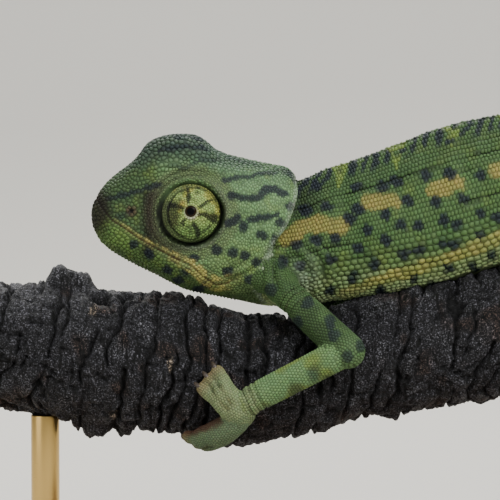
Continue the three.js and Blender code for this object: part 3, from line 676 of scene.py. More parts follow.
def head_colour(points, normals, along):
    """The head at places on the hide: the ground colour of each region, painted shade under the jaw,
    the folds round the eye with painted shade in their grooves and in the socket, then stripes,
    spots, lips, nose with a painted shadow in the nostril, and the pale edge of the neck flap."""
    at, r, turn = from_eye(points)
    x, z = at.T
    down, up = -normals[:, 2], normals[:, 2]
    right = np.where(points[:, 1] > 0, 2.2, 1)[:, None]
    loose = at + 0.3 * wavering(points, 0.9, 11) * right
    above = step_up(over_ridge(at), -0.6, 1.2)
    under = np.interp(x, *np.transpose(LIPS)) - z
    ahead = step_up(-x, 3.0, 7.0)
    corner = bump(x + 6.5, 1.1) * step_up(5.8 - np.abs(z + 1.6), 0, 1.5) * step_up(r, 5.6, 6.3)
    behind = step_up(-np.cos(turn) - 0.7 * np.sin(turn), -0.3, 0.7)
    # the grooves between the folds ahead of the eye, where painted shade goes
    rings = bump(r - 5.75, 0.16) + bump(r - 6.55, 0.16)
    # strength of the painted shadow in the socket, weaker at the top
    socket_shadow = 0.4 + 0.55 * step_up(0.7 - np.sin(turn), 0, 0.5)
    fade = 1 - 0.6 * step_up(up, 0.75, 0.95)
    stripes = [
        (SPOT, strength * fade * step_down(to_line(loose, line)[0], wide - 0.13, wide + 0.13))
        for wide, strength, line in STRIPES
    ]
    gap, share = to_line(at, LIPS)
    wide = mix(0.5, 1.15, step_up(share, 0.35, 0.8))
    pale = (0.2 + 0.7 * patchy(points, 1.7, 13, -0.4, 0.3)) * step_down(gap, wide - 0.2, wide + 0.2)
    pale = pale * step_up(share, 0.08, 0.35) * (1 - 0.8 * step_up(share, 0.92, 1))
    return painted(linear(CHEEK), [
        (LIME, 0.35 * step_up(-z, 2, 9) * step_up(x, 0, 5)),
        (TEMPLE, 0.6 * step_up(z, 2.0, 6.0) * step_up(x, -2, 3)),
        (SNOUT, ahead * 0.9),
        (CASQUE, above * (0.62 + 0.3 * step_up(z, 7, 11)) * (1 - 0.45 * step_up(x, 6, 12))),
        (JAW, step_up(under, 0, 1.0) * step_up(8 - x, 0, 5) * 0.9),
        # painted shade on the underside of the jaw, where the hide faces down
        (JAW_UNDERSIDE_SHADE, 0.7 * step_up(down, 0.2, 0.9) * step_up(-z, 3, 6)),
        (CROWN_GREEN, 0.6 * step_up(up, 0.2, 0.9) * ahead),
        (LIME, 0.25 * patchy(points, 0.8, 4, 0.1, 0.7) * (1 - 0.8 * above)),
        (BLOTCH, 0.35 * patchy(points, 0.7, 15, 0.0, 0.6)),
        (LID_FOLD, 0.75 * step_up(r, 5.0, 5.4) * step_down(r, 6.8, 7.8)),
        (EYE_CORNER, 0.9 * corner),
        (EYE_BACK, 0.65 * behind * bump(r - 5.3, 0.42)),
        # painted shade in the grooves between the folds ahead of the eye
        (FOLD_GROOVE_SHADE, 0.6 * rings * step_up(np.cos(turn - 0.25), -0.5, 0.4)),
        (EYE_SHADE, 0.6 * bump(r - 6.3, 1.0) * step_up(np.cos(turn + 0.3), 0.1, 0.8)),
        # painted shadow in the trench of the socket round the turret
        (SOCKET_SHADOW, socket_shadow * step_down(from_socket(r, turn), 4.8, 5.1)),
        *stripes,
        (SPOT, 0.9 * step_down(to_spots(loose, HEAD_SPOTS, 0.85), 0.72, 1.0)),
        (LIP, pale * np.where(under > 0, 0.15 + 0.6 * step_up(share, 0.45, 0.7), 1)),
        (GAPE, 0.85 * step_down(gap, 0.05, 0.2)),
        (TIP, 0.92 * step_down(np.hypot(x + 15.4, 0.8 * (z - 0.2)), 1.8, 4.3)),
        (NOSTRIL_RIM, 0.8 * step_down(from_nostril(at), 0.6, 0.95)),
        # painted shadow in the opening of the nostril
        (NOSTRIL_SHADOW, step_down(from_nostril(at), 0.3, 0.5)),
        (PALE, 0.55 * step_up(along, 0.984, 0.994)),
    ])


def height_share(around):
    """The share of the height from belly to back, from the share round the trunk."""
    return 2 * np.minimum(around, 1 - around)


def wrinkles(points, around):
    """How near the trunk's skin is to a fine crease (0 to 1). Creases run between groups of scale
    rows, wander a little and come and go."""
    height = height_share(around)
    row = np.interp(height, flank_h, flank_arc) * FLANK_ROWS + 0.25 * noise(points * 0.3, 91)
    third = np.abs((row / 3 + 0.5) % 1 - 0.5) * 3
    lasting = step_up(noise(points * (0.16, 0.16, 0.5), 92), -0.5, 0.3)
    return bump(third, 0.24) * lasting * step_up(height, 0.1, 0.25) * step_up(0.93 - height, 0, 0.1)


def in_armpit(points):
    """1 in the hollow behind the foreleg, where the hide is pale and finely scaled."""
    return bump(np.hypot(points[:, 0] + 11.6, (points[:, 2] - 74.0) * 0.62), 2.0)


def rear_spots(x, height, girth, wander):
    """The flank's spots behind the shoulders' own: rows of them, every other row set on by half."""
    spots = 0
    for i, row in enumerate(REAR_ROWS):
        column = np.column_stack([np.floor(x / REAR_STEP), 0 * x, 0 * x + i])
        place = (x / REAR_STEP + 0.5 * (i % 2) + 0.25 * noise(column, 9)) % 1 - 0.5
        sway = 0.03 * noise(np.column_stack([x, 0 * x, height * girth]) * 0.11, 30 + i)
        drop = (height - row - sway) * girth
        gap = np.hypot(place * REAR_STEP + 0.4 * wander[:, 0], drop + 0.3 * wander[:, 1])
        spots = np.maximum(spots, step_down(gap, 0.8, 1.1) * step_up(x, 18.6, 19.4))
    return spots


def flank_colour(points, around):
    """The trunk at places on the hide: leaf green in patches, bars and wedges along the back, the
    low stripe, straw patches, spots, creases with painted shade and dirt, painted shade behind the
    neck flap, a paler belly and painted light on the lower flank that turns down. The right side
    has its own run of the same markings."""
    height = height_share(around)
    at = points[:, [0, 2]]
    x, z = at.T
    right = np.where(points[:, 1] > 0, 1.0, 0.0)[:, None]
    wander = wavering(points, 0.8, 21)
    aside, upward = wander.T
    loose = at + 0.34 * wander + right * (1.6 * wavering(points, 0.17, 23) + (1.1, 0.2))
    leafy = 0.55 * patchy(points, 0.3, 6, 0.0, 0.6) + 0.45 * patchy(points, 0.9, 10, 0.1, 0.7)
    back, belly, _ = TRUNK(x).T
    depth = back - z
    bars = np.cos(2 * np.pi * (x + 0.4 * depth + 0.5 * aside) / BAR_STEP + 2 * noise(points * 0.2, 7))
    from_wedge = np.abs((x - 2.4 + 0.4 * upward + WEDGE_STEP / 2) % WEDGE_STEP - WEDGE_STEP / 2)
    wedge = step_up(1.7 * (1 - depth / 4.4) - from_wedge, -0.1, 0.3)
    gap, share = to_line(loose, LOW_STRIPE)
    low = step_down(gap, 0.85, 1.15)
    fleck = (0.45 + 0.4 * patchy(points, 0.8, 14, -0.4, 0.3)) * patchy(points, 0.33, 8, -0.7, -0.3)
    patches = [
        (YELLOW, (0.8 + 0.15 * upward) * step_down(to_line(loose, line)[0] + 0.35 * aside, 1.0, 1.4))
        for line in PATCHES
    ]
    spots = step_down(to_spots(loose, FLANK_SPOTS, 0.95), SPOT_RADIUS - 0.12, SPOT_RADIUS + 0.16)
    spots = np.maximum(spots, rear_spots(x, height, back - belly, wander))
    # the pale belly below a height share of 0.12, and up to 0.26 painted light on the lower flank, where it
    # turns down
    under = 0.32 * step_up(0.26 - height, 0, 0.12) * (1 - low) + 0.5 * step_up(0.12 - height, 0, 0.1)
    return painted(linear(GREEN), [
        (LIME, 0.3 * step_up(0.36 - height, 0, 0.3) + 0.3 * patchy(points, 0.5, 5, 0, 0.8)),
        (LEAF, leafy),
        # painted shade on the neck behind and under the neck flap
        (FLAP_SHADOW, 0.8 * step_up(-7.5 - x, 0, 4) * step_up(z, 82, 85)),
        (BACK, 0.4 * step_up(height, 0.66, 0.85)),
        (SPOT, 0.9 * step_up(bars, -0.25, 0.2) * step_down(depth + 0.7 * upward, 2.1, 3.2)),
        (WEDGE, 0.75 * wedge * step_up(aside, -0.6, -0.1)),
        (STRAW, fleck * low * step_up(0.97 - share, 0, 0.1)),
        *patches,
        (SPOT, 0.93 * spots),
        (PALE, 0.5 * in_armpit(points) * patchy(points, 0.9, 16, -0.8, 0.2)),
        # painted shade and dirt in the fine creases of the flank
        (CREASE_SHADE_AND_DIRT, 0.75 * wrinkles(points, around)),
        (BELLY, under * (1 - spots)),
    ])


def tail_colour(points, along):
    """The tail: dark rings, closer towards the tip, with yellow between some of them."""
    rings = np.sin(2 * np.pi * (21 * along ** 0.85 + 0.25 * noise(points * 0.4, 41)))
    return painted(linear(GREEN), [
        (LIME, 0.45 * patchy(points, 0.6, 42, 0, 0.7)),
        (YELLOW, 0.7 * step_up(-rings, 0.6, 0.9) * patchy(points, 0.35, 43, -0.2, 0.3)),
        (SPOT, 0.88 * step_up(rings, 0.25, 0.5) * patchy(points, 0.5, 44, -0.55, -0.2)),
        (BELLY, 0.4 * step_up(along, 0.5, 1)),
    ])


def leg_colour(points, normals, kind, along):
    """A leg at places on the hide: dark above the elbow, light below it with blots, grey-green feet
    with brown soles, toe tips and creases, darkened in the creases with painted shade."""
    wander = wavering(points, 0.9, 51)
    lower = kind == "lower_leg"
    upper = kind == "upper_leg"
    foot = ~(upper | lower)
    toe = np.char.find(kind, "toe") >= 0
    gripping = np.char.startswith(kind, "lower_bundle") | np.char.startswith(kind, "lower_toe")
    shoulder = upper * step_up(0.62 - along, 0, 0.3)
    # the left foreleg has spots of its own; the other legs have blots
    measured = (points[:, 1] < 0) & (points[:, 0] < 10)
    gap = to_spots(points[:, [0, 2]] + 0.3 * wander, ARM_SPOTS + FLANK_SPOTS, 1.1)
    soft = 0.75 * step_down(gap + 0.35 * wander[:, 0], 0.6, 1.7)
    spots = np.where(lower, soft, step_down(gap, 0.7, 1.05))
    axis = BOUGH(points[:, 0])[:, 0]
    inward = unit(np.column_stack([0 * axis, -points[:, 1], axis - points[:, 2]]))
    facing = np.einsum("ij,ij->i", normals, inward)
    return painted(linear(ARM), [
        (FOREARM, lower + 0.5 * upper * step_up(along, 0.75, 1)),
        (GREEN, 0.6 * shoulder),
        (SHOULDER, 0.6 * shoulder * step_up(noise(points * (0.7, 0.5, 0.3), 56), 0.0, 0.5)),
        (GREEN, 0.7 * upper * patchy(points, 0.55, 57, 0.0, 0.5)),
        (LIME, 0.65 * lower * patchy(points, 0.45, 53, -0.35, 0.25)),
        (FOOT, foot * 0.9 + lower * step_up(along, 0.7, 1) * 0.5),
        (SPOT, 0.75 * np.where(measured, spots, patchy(points, 0.42, 54, 0.2, 0.4)) * ~foot),
        (FOOT_BLOTCH, 0.5 * foot * patchy(points, 0.8, 55, 0.1, 0.6)),
        (GRIP, 0.75 * gripping),
        (SOLE, gripping * 0.85 * step_up(normals[:, 2], 0.05, 0.5)),
        (TOE_TIP, 0.65 * toe * step_up(along, 0.35, 0.85)),
        (TOE_GAP, 0.45 * foot * bump(from_toe_gaps(points), 0.42)),
        # painted shade in the creases below the shoulder and at the wrist or ankle
        (JOINT_CREASE_SHADE, 0.6 * joint_creases(points)),
        (SOLE, foot * 0.75 * step_up(facing, 0.1, 0.6)),
    ])


# rays as [angle from ahead, half-width at the pupil, half-width far out, start, stop]
LID_RAYS = [
    (19, 0.38, 0.56, 0.95, 4.3), (81, 0.3, 0.46, 1.0, 4.4), (106, 0.12, 0.2, 2.6, 4.2),
    (148, 0.28, 0.42, 1.2, 3.9), (195, 0.34, 0.6, 0.95, 4.3), (254, 0.24, 0.5, 1.4, 4.1),
    (304, 0.24, 0.34, 1.2, 2.6), (48, 0.14, 0.1, 2.2, 3.2),
]
# a crease of the lids, painted as a dark line of shade
LID_CREASE_SHADE = [(1.0, -3.6), (2.2, -2.7), (3.4, -1.6)]
FOLD_MIDDLE = (0.42, -0.18)  # of the circle that the lids fold along


def off_by(turn, middle):
    """Angle from a middle, the short way round."""
    return (turn - middle + np.pi) % (2 * np.pi) - np.pi


def lid_ray(r, turn, middle, width, widen, start, stop):
    """How dark a ray out from the pupil makes the lids, 0.9 at most, soft at its sides and ends."""
    reach = mix(width, widen, step_up(r, start, stop))
    ends = step_up(r, start - 0.1, start + 0.3) * step_down(r, stop - 0.3, stop)
    off = off_by(turn, np.radians(middle))
    return 0.9 * step_down(np.abs(off) * r, reach * 0.65, reach * 1.15) * ends


def lid_colour(at):
    """The cone of joined lids, at [x, z] from its axis: green and straw scales, brown ahead and darkened
    there with painted shade, with dark rays out from the pupil and a fold along a circle, and painted
    shade along the fold, a crease and the turret's foot."""
    x, z = at.T
    r, turn = np.hypot(x, z), np.arctan2(z, -x)
    spot = np.column_stack([at, 0 * x])
    wander = noise(spot * 1.4, 61)
    straw = step_up(noise(spot * 1.2, 62) + 0.5 * step_up(x, 0.5, 2.5), 0.0, 0.5)
    brown = step_up(-x + 0.3 * wander, 1.2, 2.3) * step_up(2.8 - np.abs(z + 0.3), 0, 1.4)
    fold = np.hypot(*(at - FOLD_MIDDLE).T)
    before = step_up(np.cos(turn - 0.35), -0.45, 0.15)
    lip = step_down(r, 1.0, 1.12 + 0.35 * bump(off_by(turn, 4.3), 1.0))
    return painted(linear(LID), [
        (LID_YELLOW, 0.9 * straw * step_up(z, -1.6, 0.2)),
        (LID_GREEN, 0.6 * step_up(-z, 1.2, 2.8)),
        # brown pigment ahead, and painted shade on the front of the turret
        (LID_BROWN_AND_SHADE, 0.85 * brown),
        (LID_ORANGE, 0.7 * bump(np.hypot(x + 1.2, z - 1.4), 0.45)),
        (LID_SPOT, 0.6 * patchy(spot, 2.1, 63, 0.25, 0.6)),
        *[(LID_DARK, lid_ray(r, turn + 0.1 * wander, *ray)) for ray in LID_RAYS],
        # painted shade along a crease of the lids
        (LID_DARK, 0.8 * bump(to_line(at, LID_CREASE_SHADE)[0], 0.12)),
        # painted shade along the fold of the lids, darker ahead
        (LID_DARK, mix(0.6, 0.95, before) * bump(fold - 3.88, 0.17)),
        (LID_OUTER, 0.7 * step_up(fold, 3.98, 4.1) * before),
        (LID_REAR, 0.6 * step_up(fold, 3.9, 4.05) * (1 - before)),
        # painted shade at the turret's foot, where it drops into the socket
        (LID_FOOT_SHADE, 0.8 * step_up(r, mix(4.2, 4.4, before), 4.6)),
        (LID_LIP, 0.85 * lip * (0.35 + 0.65 * bump(off_by(turn, 4.5), 1.5))),
        (LID_DARK, step_down(r, 0.84, 0.9)),
    ])


# ---------------- skin
# One hide over the whole body, drawn tight over the muscles and loose in folds at the throat,
# armpits and wrists. It is thin, with painted shade between the scales, and has no seam from lip to tail tip.

VOXEL = 0.4  # grid of the remesh that melts the surfaces into one
SHOULDER_MELT = 40  # rounds of smoothing where the legs run in
HIDE_SHADE = 0.55  # painted shade: how much darker the bare hide between the scales is made than its scales
GULAR_FOLD = [(6.0, -9.4), (8.6, -8.2), (10.6, -6.4), (12.2, -4.4)]
# folds of loose hide behind the jaw and round the shoulder, as [x, z] of the model
HIDE_FOLDS = [
    [(-17.0, 77.5), (-17.6, 74.0), (-16.8, 70.5)],
    [(-15.2, 78.5), (-15.8, 75.0), (-14.6, 71.8)],
    [(-12.9, 78.6), (-10.6, 77.0), (-9.9, 74.6), (-10.2, 72.2)],
    [(-11.6, 80.0), (-8.6, 77.8), (-7.6, 75.0), (-7.9, 72.4)],
]
# folds ahead of the eye: radius, width and height, or depth where less than 0
LID_FOLDS = (
    (6.15, 0.3, 0.26), (6.95, 0.3, 0.22), (5.75, 0.2, -0.3), (6.55, 0.2, -0.3), (7.5, 0.4, -0.16),
)
TURRET_RADIUS = 4.5
TURRET_REACH = 3.4
SOCKET_RADIUS = 4.9
EYE_TILT = np.radians(6)  # upwards
LID_INSET = 0.06  # depth of the lids' hide under their scales


def melted(names):
    """The union of closed surfaces as one even mesh of quads, from a voxel remesh."""
    lump = build_mesh("lump", *merged([closed(surfaces[name]["grid"]) for name in names]))
    remesh = lump.modifiers.new("melt", "REMESH")
    remesh.mode = "VOXEL"
    remesh.voxel_size = VOXEL * MM
    evaluated = lump.evaluated_get(bpy.context.evaluated_depsgraph_get())
    made = read_mesh(evaluated.to_mesh())
    evaluated.to_mesh_clear()
    mesh = lump.data
    bpy.data.objects.remove(lump)
    bpy.data.meshes.remove(mesh)
    return made


def smoothed(points, quads, rounds, shares=(0.5, -0.52)):
    """Taubin's smoothing: each round moves every point by half of the way to the mean of its
    neighbours and then a little more than that back, which evens ripples and keeps the volume.
    With one share for each point it moves them by that alone, which melts corners."""
    pairs = np.sort(np.concatenate([quads[:, [i, (i + 1) % 4]] for i in range(4)]), axis=1)
    a, b = np.unique(pairs, axis=0).T
    degree = np.bincount(a, minlength=len(points)) + np.bincount(b, minlength=len(points))
    for _ in range(rounds):
        for share in shares:
            total = np.column_stack([
                np.bincount(a, points[b, k], len(points)) + np.bincount(b, points[a, k], len(points))
                for k in range(3)
            ])
            points = points + share * (total / degree[:, None] - points)
    return points


def point_normals(points, quads):
    """Each point's normal: the sum of the cross products of its faces' diagonals, made unit."""
    cross = np.cross(points[quads[:, 2]] - points[quads[:, 0]], points[quads[:, 3]] - points[quads[:, 1]])
    return unit(np.column_stack([
        sum(np.bincount(quads[:, i], cross[:, k], len(points)) for i in range(4)) for k in range(3)
    ]))


def near_shoulders(points):
    """1 where a leg runs into the body, fading out over the upper leg and 7.5 mm from its middle."""
    share = np.zeros(len(points))
    for leg in LEGS.values():
        root, bend, _ = joints_of(leg)
        run = bend - root
        along = (points - root) @ run / (run @ run)
        away = np.linalg.norm(points - root - np.clip(along, 0, 1)[:, None] * run, axis=1)
        share = np.maximum(share, step_down(along, 0.3, 0.62) * step_down(away, 4.5, 7.5))
    return share


def from_toe_gaps(points):
    """Distance of points from the creases that part bound toes, along the backs of the bundles."""
    gap = np.full(len(points), 9.0)
    for leg in LEGS.values():
        near = np.abs(points[:, 0] - leg["palm"][0]) < 12
        for name in ("upper", "lower"):
            toes = leg[name][1]
            for spread in np.arange(1, toes) - toes / 2:
                aside = TOE["apart"] * spread * np.array([1, 0.85, 0.6])
                line = past_knuckles(leg, name, np.array([2.6, 0.5, -2.2]), aside, (1.8, 3.1, 4.2))
                gap[near] = np.minimum(gap[near], to_line(points[near], line)[0])
    return gap


def joint_creases(points):
    """How near points are to the creases that ring a leg below the shoulder and at the wrist or
    ankle: three planes across it at each place, a little wavy."""
    near = np.zeros(len(points))
    for leg in LEGS.values():
        root, bend, end = joints_of(leg)
        below_shoulder = (root, unit(bend - root), (5.4, 6.5, 7.8))
        for start, way, places in (below_shoulder, (end, unit(end - bend), (-1.5, -0.5, 0.5))):
            offset = points - start
            along = offset @ way + 0.25 * noise(points * 0.5, 94)
            close = step_down(np.linalg.norm(offset - np.mean(places) * way, axis=1), 3.2, 4.6)
            for place in places:
                near = np.maximum(near, close * bump(along - place, 0.17))
    return near


def sculpted(points, normals, keys):
    """The skin with its folds: distances along the normal, added up from ridges and grooves."""
    at, r, turn = from_eye(points)
    part = keys[:, 0].astype(int)
    on_head, on_trunk, on_leg = part == HEAD_PART, part == TRUNK_PART, part > TAIL_PART
    facing = np.abs(normals[:, 1])
    push = np.zeros(len(points))

    lips, _ = to_line(at, LIPS)
    push -= on_head * 0.26 * bump(lips, 0.17)
    crest, along = to_line(at, CREST_RIDGE)
    push += on_head * 0.34 * bump(crest, 0.6) * step_up(along, 0.0, 0.15) * facing
    push -= on_head * 0.16 * bump(crest - 1.3, 0.6) * step_up(along, 0.35, 0.5) * facing
    nostril = from_nostril(at)
    push += on_head * (0.16 * bump(nostril - 0.6, 0.25) - 0.7 * bump(nostril, 0.28))
    fold, _ = to_line(at, GULAR_FOLD)
    push += on_head * (0.22 * bump(fold, 0.35) - 0.16 * bump(fold - 0.7, 0.4))

    ahead = step_up(np.cos(turn - 0.25), -0.35, 0.6)
    near_eye = on_head * step_up(np.abs(points[:, 1]), 2.0, 3.0)
    push += near_eye * 0.3 * bump(r - 5.35, 0.3)
    for middle, wide, high in LID_FOLDS:
        push += near_eye * ahead * high * bump(r - middle, wide)

    shoulder = near_shoulders(points)
    loose = np.maximum(on_trunk, shoulder)
    push += shoulder * 0.22 * noise(points * (0.9, 0.6, 0.45), 96)
    for line in HIDE_FOLDS:
        gap, along = to_line(points[:, [0, 2]], line)
        fade = np.sin(np.pi * np.clip(along, 0.02, 0.98)) ** 0.5
        push += loose * facing * fade * (0.36 * bump(gap, 0.42) - 0.24 * bump(gap - 0.85, 0.4))
    push -= on_trunk * 0.3 * wrinkles(points, keys[:, 2])
    push -= on_leg * (0.8 * bump(from_toe_gaps(points), 0.34) + 0.3 * joint_creases(points))
    ripples = noise(points * (0.32, 0.1, 0.09), 3) + noise(points * (0.55, 0.2, 0.2), 8)
    push += on_trunk * facing * 0.24 * ripples
    out = points + normals * push[:, None]

    # the socket: a round trench that the turret of lids stands in
    trench = near_eye * step_down(from_socket(r, turn) - SOCKET_RADIUS, -0.1, 0.3)
    deep = np.minimum(np.abs(out[:, 1]), EYE[1] - 0.8)
    out[:, 1] = np.sign(out[:, 1]) * mix(np.abs(out[:, 1]), deep, trench)
    return out


def turret_out(x, z):
    """How far the lids stand out, at places from the eye's axis: a dome, a fold along a circle
    that lies a little behind the axis, and a lip round the opening."""
    r = np.hypot(x, z)
    dome = TURRET_REACH * np.clip(1 - (np.minimum(r, TURRET_RADIUS) / TURRET_RADIUS) ** 2.1, 0, 1) ** 0.72
    fold = np.hypot(x - FOLD_MIDDLE[0], z - FOLD_MIDDLE[1])
    ledge = 0.3 * step_up(fold, 3.8, 3.98)
    return dome - ledge + 0.1 * bump(fold - 3.45, 0.3) + 0.1 * bump(r - 1.0, 0.16)


def about_eye(x, z, out, side):
    """Places on one eye, from its axis and out along it; the axis looks a little up."""
    c, s = np.cos(EYE_TILT), np.sin(EYE_TILT)
    return np.stack([EYE[0] + x, side * (EYE[1] + out * c - z * s), EYE[2] + z * c + out * s], -1)


def on_eye(points):
    """The way back: [x, z] from the eye's axis."""
    out, z = np.abs(points[:, 1]) - EYE[1], points[:, 2] - EYE[2]
    return np.column_stack([points[:, 0] - EYE[0], z * np.cos(EYE_TILT) - out * np.sin(EYE_TILT)])


def turret_grid(side, inset=0.0):
    """Rings of the turret: a skirt down inside the socket, the dome of lids and the turned-in lip."""
    turn = full_turn(90)
    lids = np.linspace(TURRET_RADIUS, 0.9, 42)
    radii = np.concatenate([[TURRET_RADIUS - 0.9, TURRET_RADIUS - 0.25], lids, [0.84, 0.81, 0.8]])
    x, z = radii[:, None] * np.cos(turn), radii[:, None] * np.sin(turn)
    out = turret_out(x, z) - inset
    out[0], out[1] = -2.4, -0.9
    out[-3:] = out[-4] - np.array([[0.02], [0.12], [0.8]])
    return about_eye(x, z, out, side)


# what each surface is, without which leg it belongs to
kinds = np.array([name.split("_", 2)[2] if name[:4] in ("fore", "hind") else name for name in surfaces])


def tree_of(points):
    """A search tree of points. It takes and finds them one at a time, and knows no other way."""
    tree = KDTree(len(points))
    for i, point in enumerate(points.tolist()):
        tree.insert(point, i)
    tree.balance()
    return tree


def look_up(points):
    """The surface that each point lies on, and its share along and round that surface."""
    found = np.array([surface_tree.find(p)[1] for p in points.tolist()])
    return surface_keys[found]


def marked(points, normals, keys):
    """The pigment at each point of the hide, by the part of the body that it lies on."""
    part = keys[:, 0].astype(int)
    _, along, around = keys.T
    colour = np.zeros((len(points), 3))
    for choice, paint, *more in (
        (part == HEAD_PART, head_colour, normals, along),
        (part == TRUNK_PART, flank_colour, around),
        (part == TAIL_PART, tail_colour, along),
        (part > TAIL_PART, leg_colour, normals, kinds[part], along),
    ):
        colour[choice] = paint(points[choice], *(value[choice] for value in more))
    return colour


surface_tree = tree_of(np.concatenate([made["grid"].reshape(-1, 3) for made in surfaces.values()]))
surface_keys = np.concatenate([
    np.stack(crossed(number, made["along"], made["around"]), -1).reshape(-1, 3)
    for number, made in enumerate(surfaces.values())
])

hide, hide_quads = melted(surfaces)
hide = smoothed(hide, hide_quads, 6)
hide = smoothed(hide, hide_quads, SHOULDER_MELT, (0.5 * near_shoulders(hide)[:, None],))
hide_keys = look_up(hide)
hide = sculpted(hide, point_normals(hide, hide_quads), hide_keys)
hide = smoothed(hide, hide_quads, 1)
hide_normals = point_normals(hide, hide_quads)
hide_colour = marked(hide, hide_normals, hide_keys)

turrets = [closed(turret_grid(side, LID_INSET)) for side in (LEFT, RIGHT)]
skin_colour = np.concatenate([hide_colour, *(lid_colour(on_eye(points)) for points, _ in turrets)])
# the hide's pigment, darkened with painted shade between the scales
skin = build_mesh("skin", *merged([(hide, [hide_quads]), *turrets]), skin_colour * HIDE_SHADE)
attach(skin, "root")
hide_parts(*[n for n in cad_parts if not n.startswith(("stand", "perch", "eye_"))])


# ---------------- scales
# Small scales of horn set side by side over the whole hide: tall kernels in rows on the flank,
# polygons on the helmet and snout, beads on lids, lips and legs, and a low crest of cones.

NAPE_X = -12.5  # where the head ends
RIM_DEPTH = 0.05  # how far a scale's edge is sunk in the hide
HEAD_CLEAR = 9.0  # from the middle of the head, clear of its sides
CELL_SHARE = (0.99, 0.93)  # shares of its room that a scale fills, along and across the body
PATCH = 0.003  # width of a scale on the unwrap
SIZES = {  # along the body, across it and high
    "snout": (0.62, 0.62, 0.15), "helmet": (0.72, 0.72, 0.2), "temple": (0.36, 0.56, 0.08),
    "cheek": (0.46, 0.48, 0.09), "throat": (0.58, 0.64, 0.15), "lids": (0.4, 0.34, 0.08),
    "lips": (0.5, 0.42, 0.11), "tail": (0.56, 0.62, 0.13), "upper_leg": (0.5, 0.5, 0.13),
    "lower_leg": (0.5, 0.5, 0.13), "heel": (0.46, 0.46, 0.11), "bundle": (0.42, 0.42, 0.09),
    "toe": (0.36, 0.36, 0.08), "back_crest": (0.72, 0.6, 0.24), "throat_crest": (0.5, 0.46, 0.24),
    "turret": (0.41, 0.35, 0.14),
}
RING_RADIUS = 7.4  # round the eye, in which the scales lie in rings
BESIDE = 2.5  # from the middle of the head, beyond which a place counts as on its side
TUBE_RADIUS = 2.9  # of the tail where its scales have their full size
RING_STEP = 0.87  # share of their room that rings of scales are apart, since they interlock
random = np.random.default_rng(7)

hide_tree = BVHTree.FromPolygons(hide.tolist(), hide_quads.tolist())


def settled(points, reach):
    """Points moved to the nearest place on the hide, its normal there, and which were in reach."""
    found = [hide_tree.find_nearest(p) for p in points.tolist()]
    where = np.array([f[0] for f in found])
    face = np.array([f[2] for f in found])
    near = np.array([f[3] for f in found]) < reach
    return where, unit(hide_normals[hide_quads[face]].mean(1)), near


def in_eye_rings(points, part, r):
    """Whether the scales at places of the hide lie in rings round the eye."""
    return (part == HEAD_PART) & (r < RING_RADIUS) & (np.abs(points[:, 1]) > BESIDE)


def heading(points, normals, keys):
    """The way the scales lie: along each part of the body, and round the eye close to it."""
    part = keys[:, 0].astype(int)
    ahead = np.tile([1.0, 0.0, 0.0], (len(points), 1))
    for number, made in enumerate(surfaces.values()):
        chosen = part == number
        if number > TRUNK_PART and chosen.any():
            spine = np.gradient(made["grid"].mean(1), axis=0).T
            ahead[chosen] = np.column_stack([np.interp(keys[chosen, 1], made["along"], way) for way in spine])
    at, r, _ = from_eye(points)
    ring = in_eye_rings(points, part, r)
    ahead[ring] = np.column_stack([at[:, 1], np.zeros(len(at)), -at[:, 0]])[ring]
    return unit(ahead - normals * np.einsum("ij,ij->i", ahead, normals)[:, None])


def flank_room(x, height):
    """Room for a flank scale [along, across]: rows as tall as their share of the girth, and
    columns that narrow with it; the lower scales are nearly twice as long."""
    girth = np.interp(x, flank_x, flank_girth)
    low = step_up(0.4 - height, 0, 0.1) * (1 - 0.5 * step_up(0.14 - height, 0, 0.1))
    wide = 0.53 * (girth / 27) ** 0.6 * (1 + 0.95 * low) * (1 - 0.12 * step_up(height, 0.8, 0.9))
    return wide, girth * even_room * np.interp(height, *ROW_ROOM)


def size_at(points, normals, keys):
    """Room for a scale [along, across, high] at each place."""
    part = keys[:, 0].astype(int)
    kind = kinds[part]
    at, r, _ = from_eye(points)
    x, z = at.T
    size = np.tile(SIZES["snout"], (len(points), 1))

    def lean(choice, name, share):
        """Moves the sizes in a region towards those of a named one, by a share for each place."""
        size[choice] = mix(size[choice], SIZES[name], np.clip(share, 0, 1)[choice, None])

    head = part == HEAD_PART
    above = over_ridge(at)
    lean(head, "throat", step_up(-normals[:, 2], 0.3, 0.8))
    lean(head, "cheek", step_up(x, -3.0, 1.0) * step_up(1.0 - above, 0, 1.0))
    lean(head, "temple", step_up(x, 3.0, 5.0) * step_up(0.6 - above, 0, 1.0) * step_up(z, -11, -8))
    lean(head, "helmet", step_up(above, 0, 1.0))
    lean(in_eye_rings(points, part, r), "lids", step_down(r, RING_RADIUS - 0.6, RING_RADIUS))

    trunk = part == TRUNK_PART
    height = height_share(keys[:, 2])
    high = 0.15 + 0.07 * step_up(0.45 - height, 0, 0.3)
    fine = 1 - 0.4 * in_armpit(points)
    size[trunk] = (np.column_stack([*flank_room(points[:, 0], height), high]) * fine[:, None])[trunk]

    for name in ("upper_leg", "lower_leg", "heel", "bundle", "toe"):
        size[np.char.find(kind, name) >= 0] = SIZES[name]
    slim = np.clip(TAIL_RADIUS(keys[:, 1])[:, :1] / 3.2, 0.5, 1)
    size[part == TAIL_PART] = (SIZES["tail"] * slim)[part == TAIL_PART]
    return size


def lie_of(points):
    """Normal, place on the body's surfaces, heading and room for a scale at places on the hide."""
    _, normals, _ = settled(points, 1)
    keys = look_up(points)
    return normals, keys, heading(points, normals, keys), size_at(points, normals, keys)


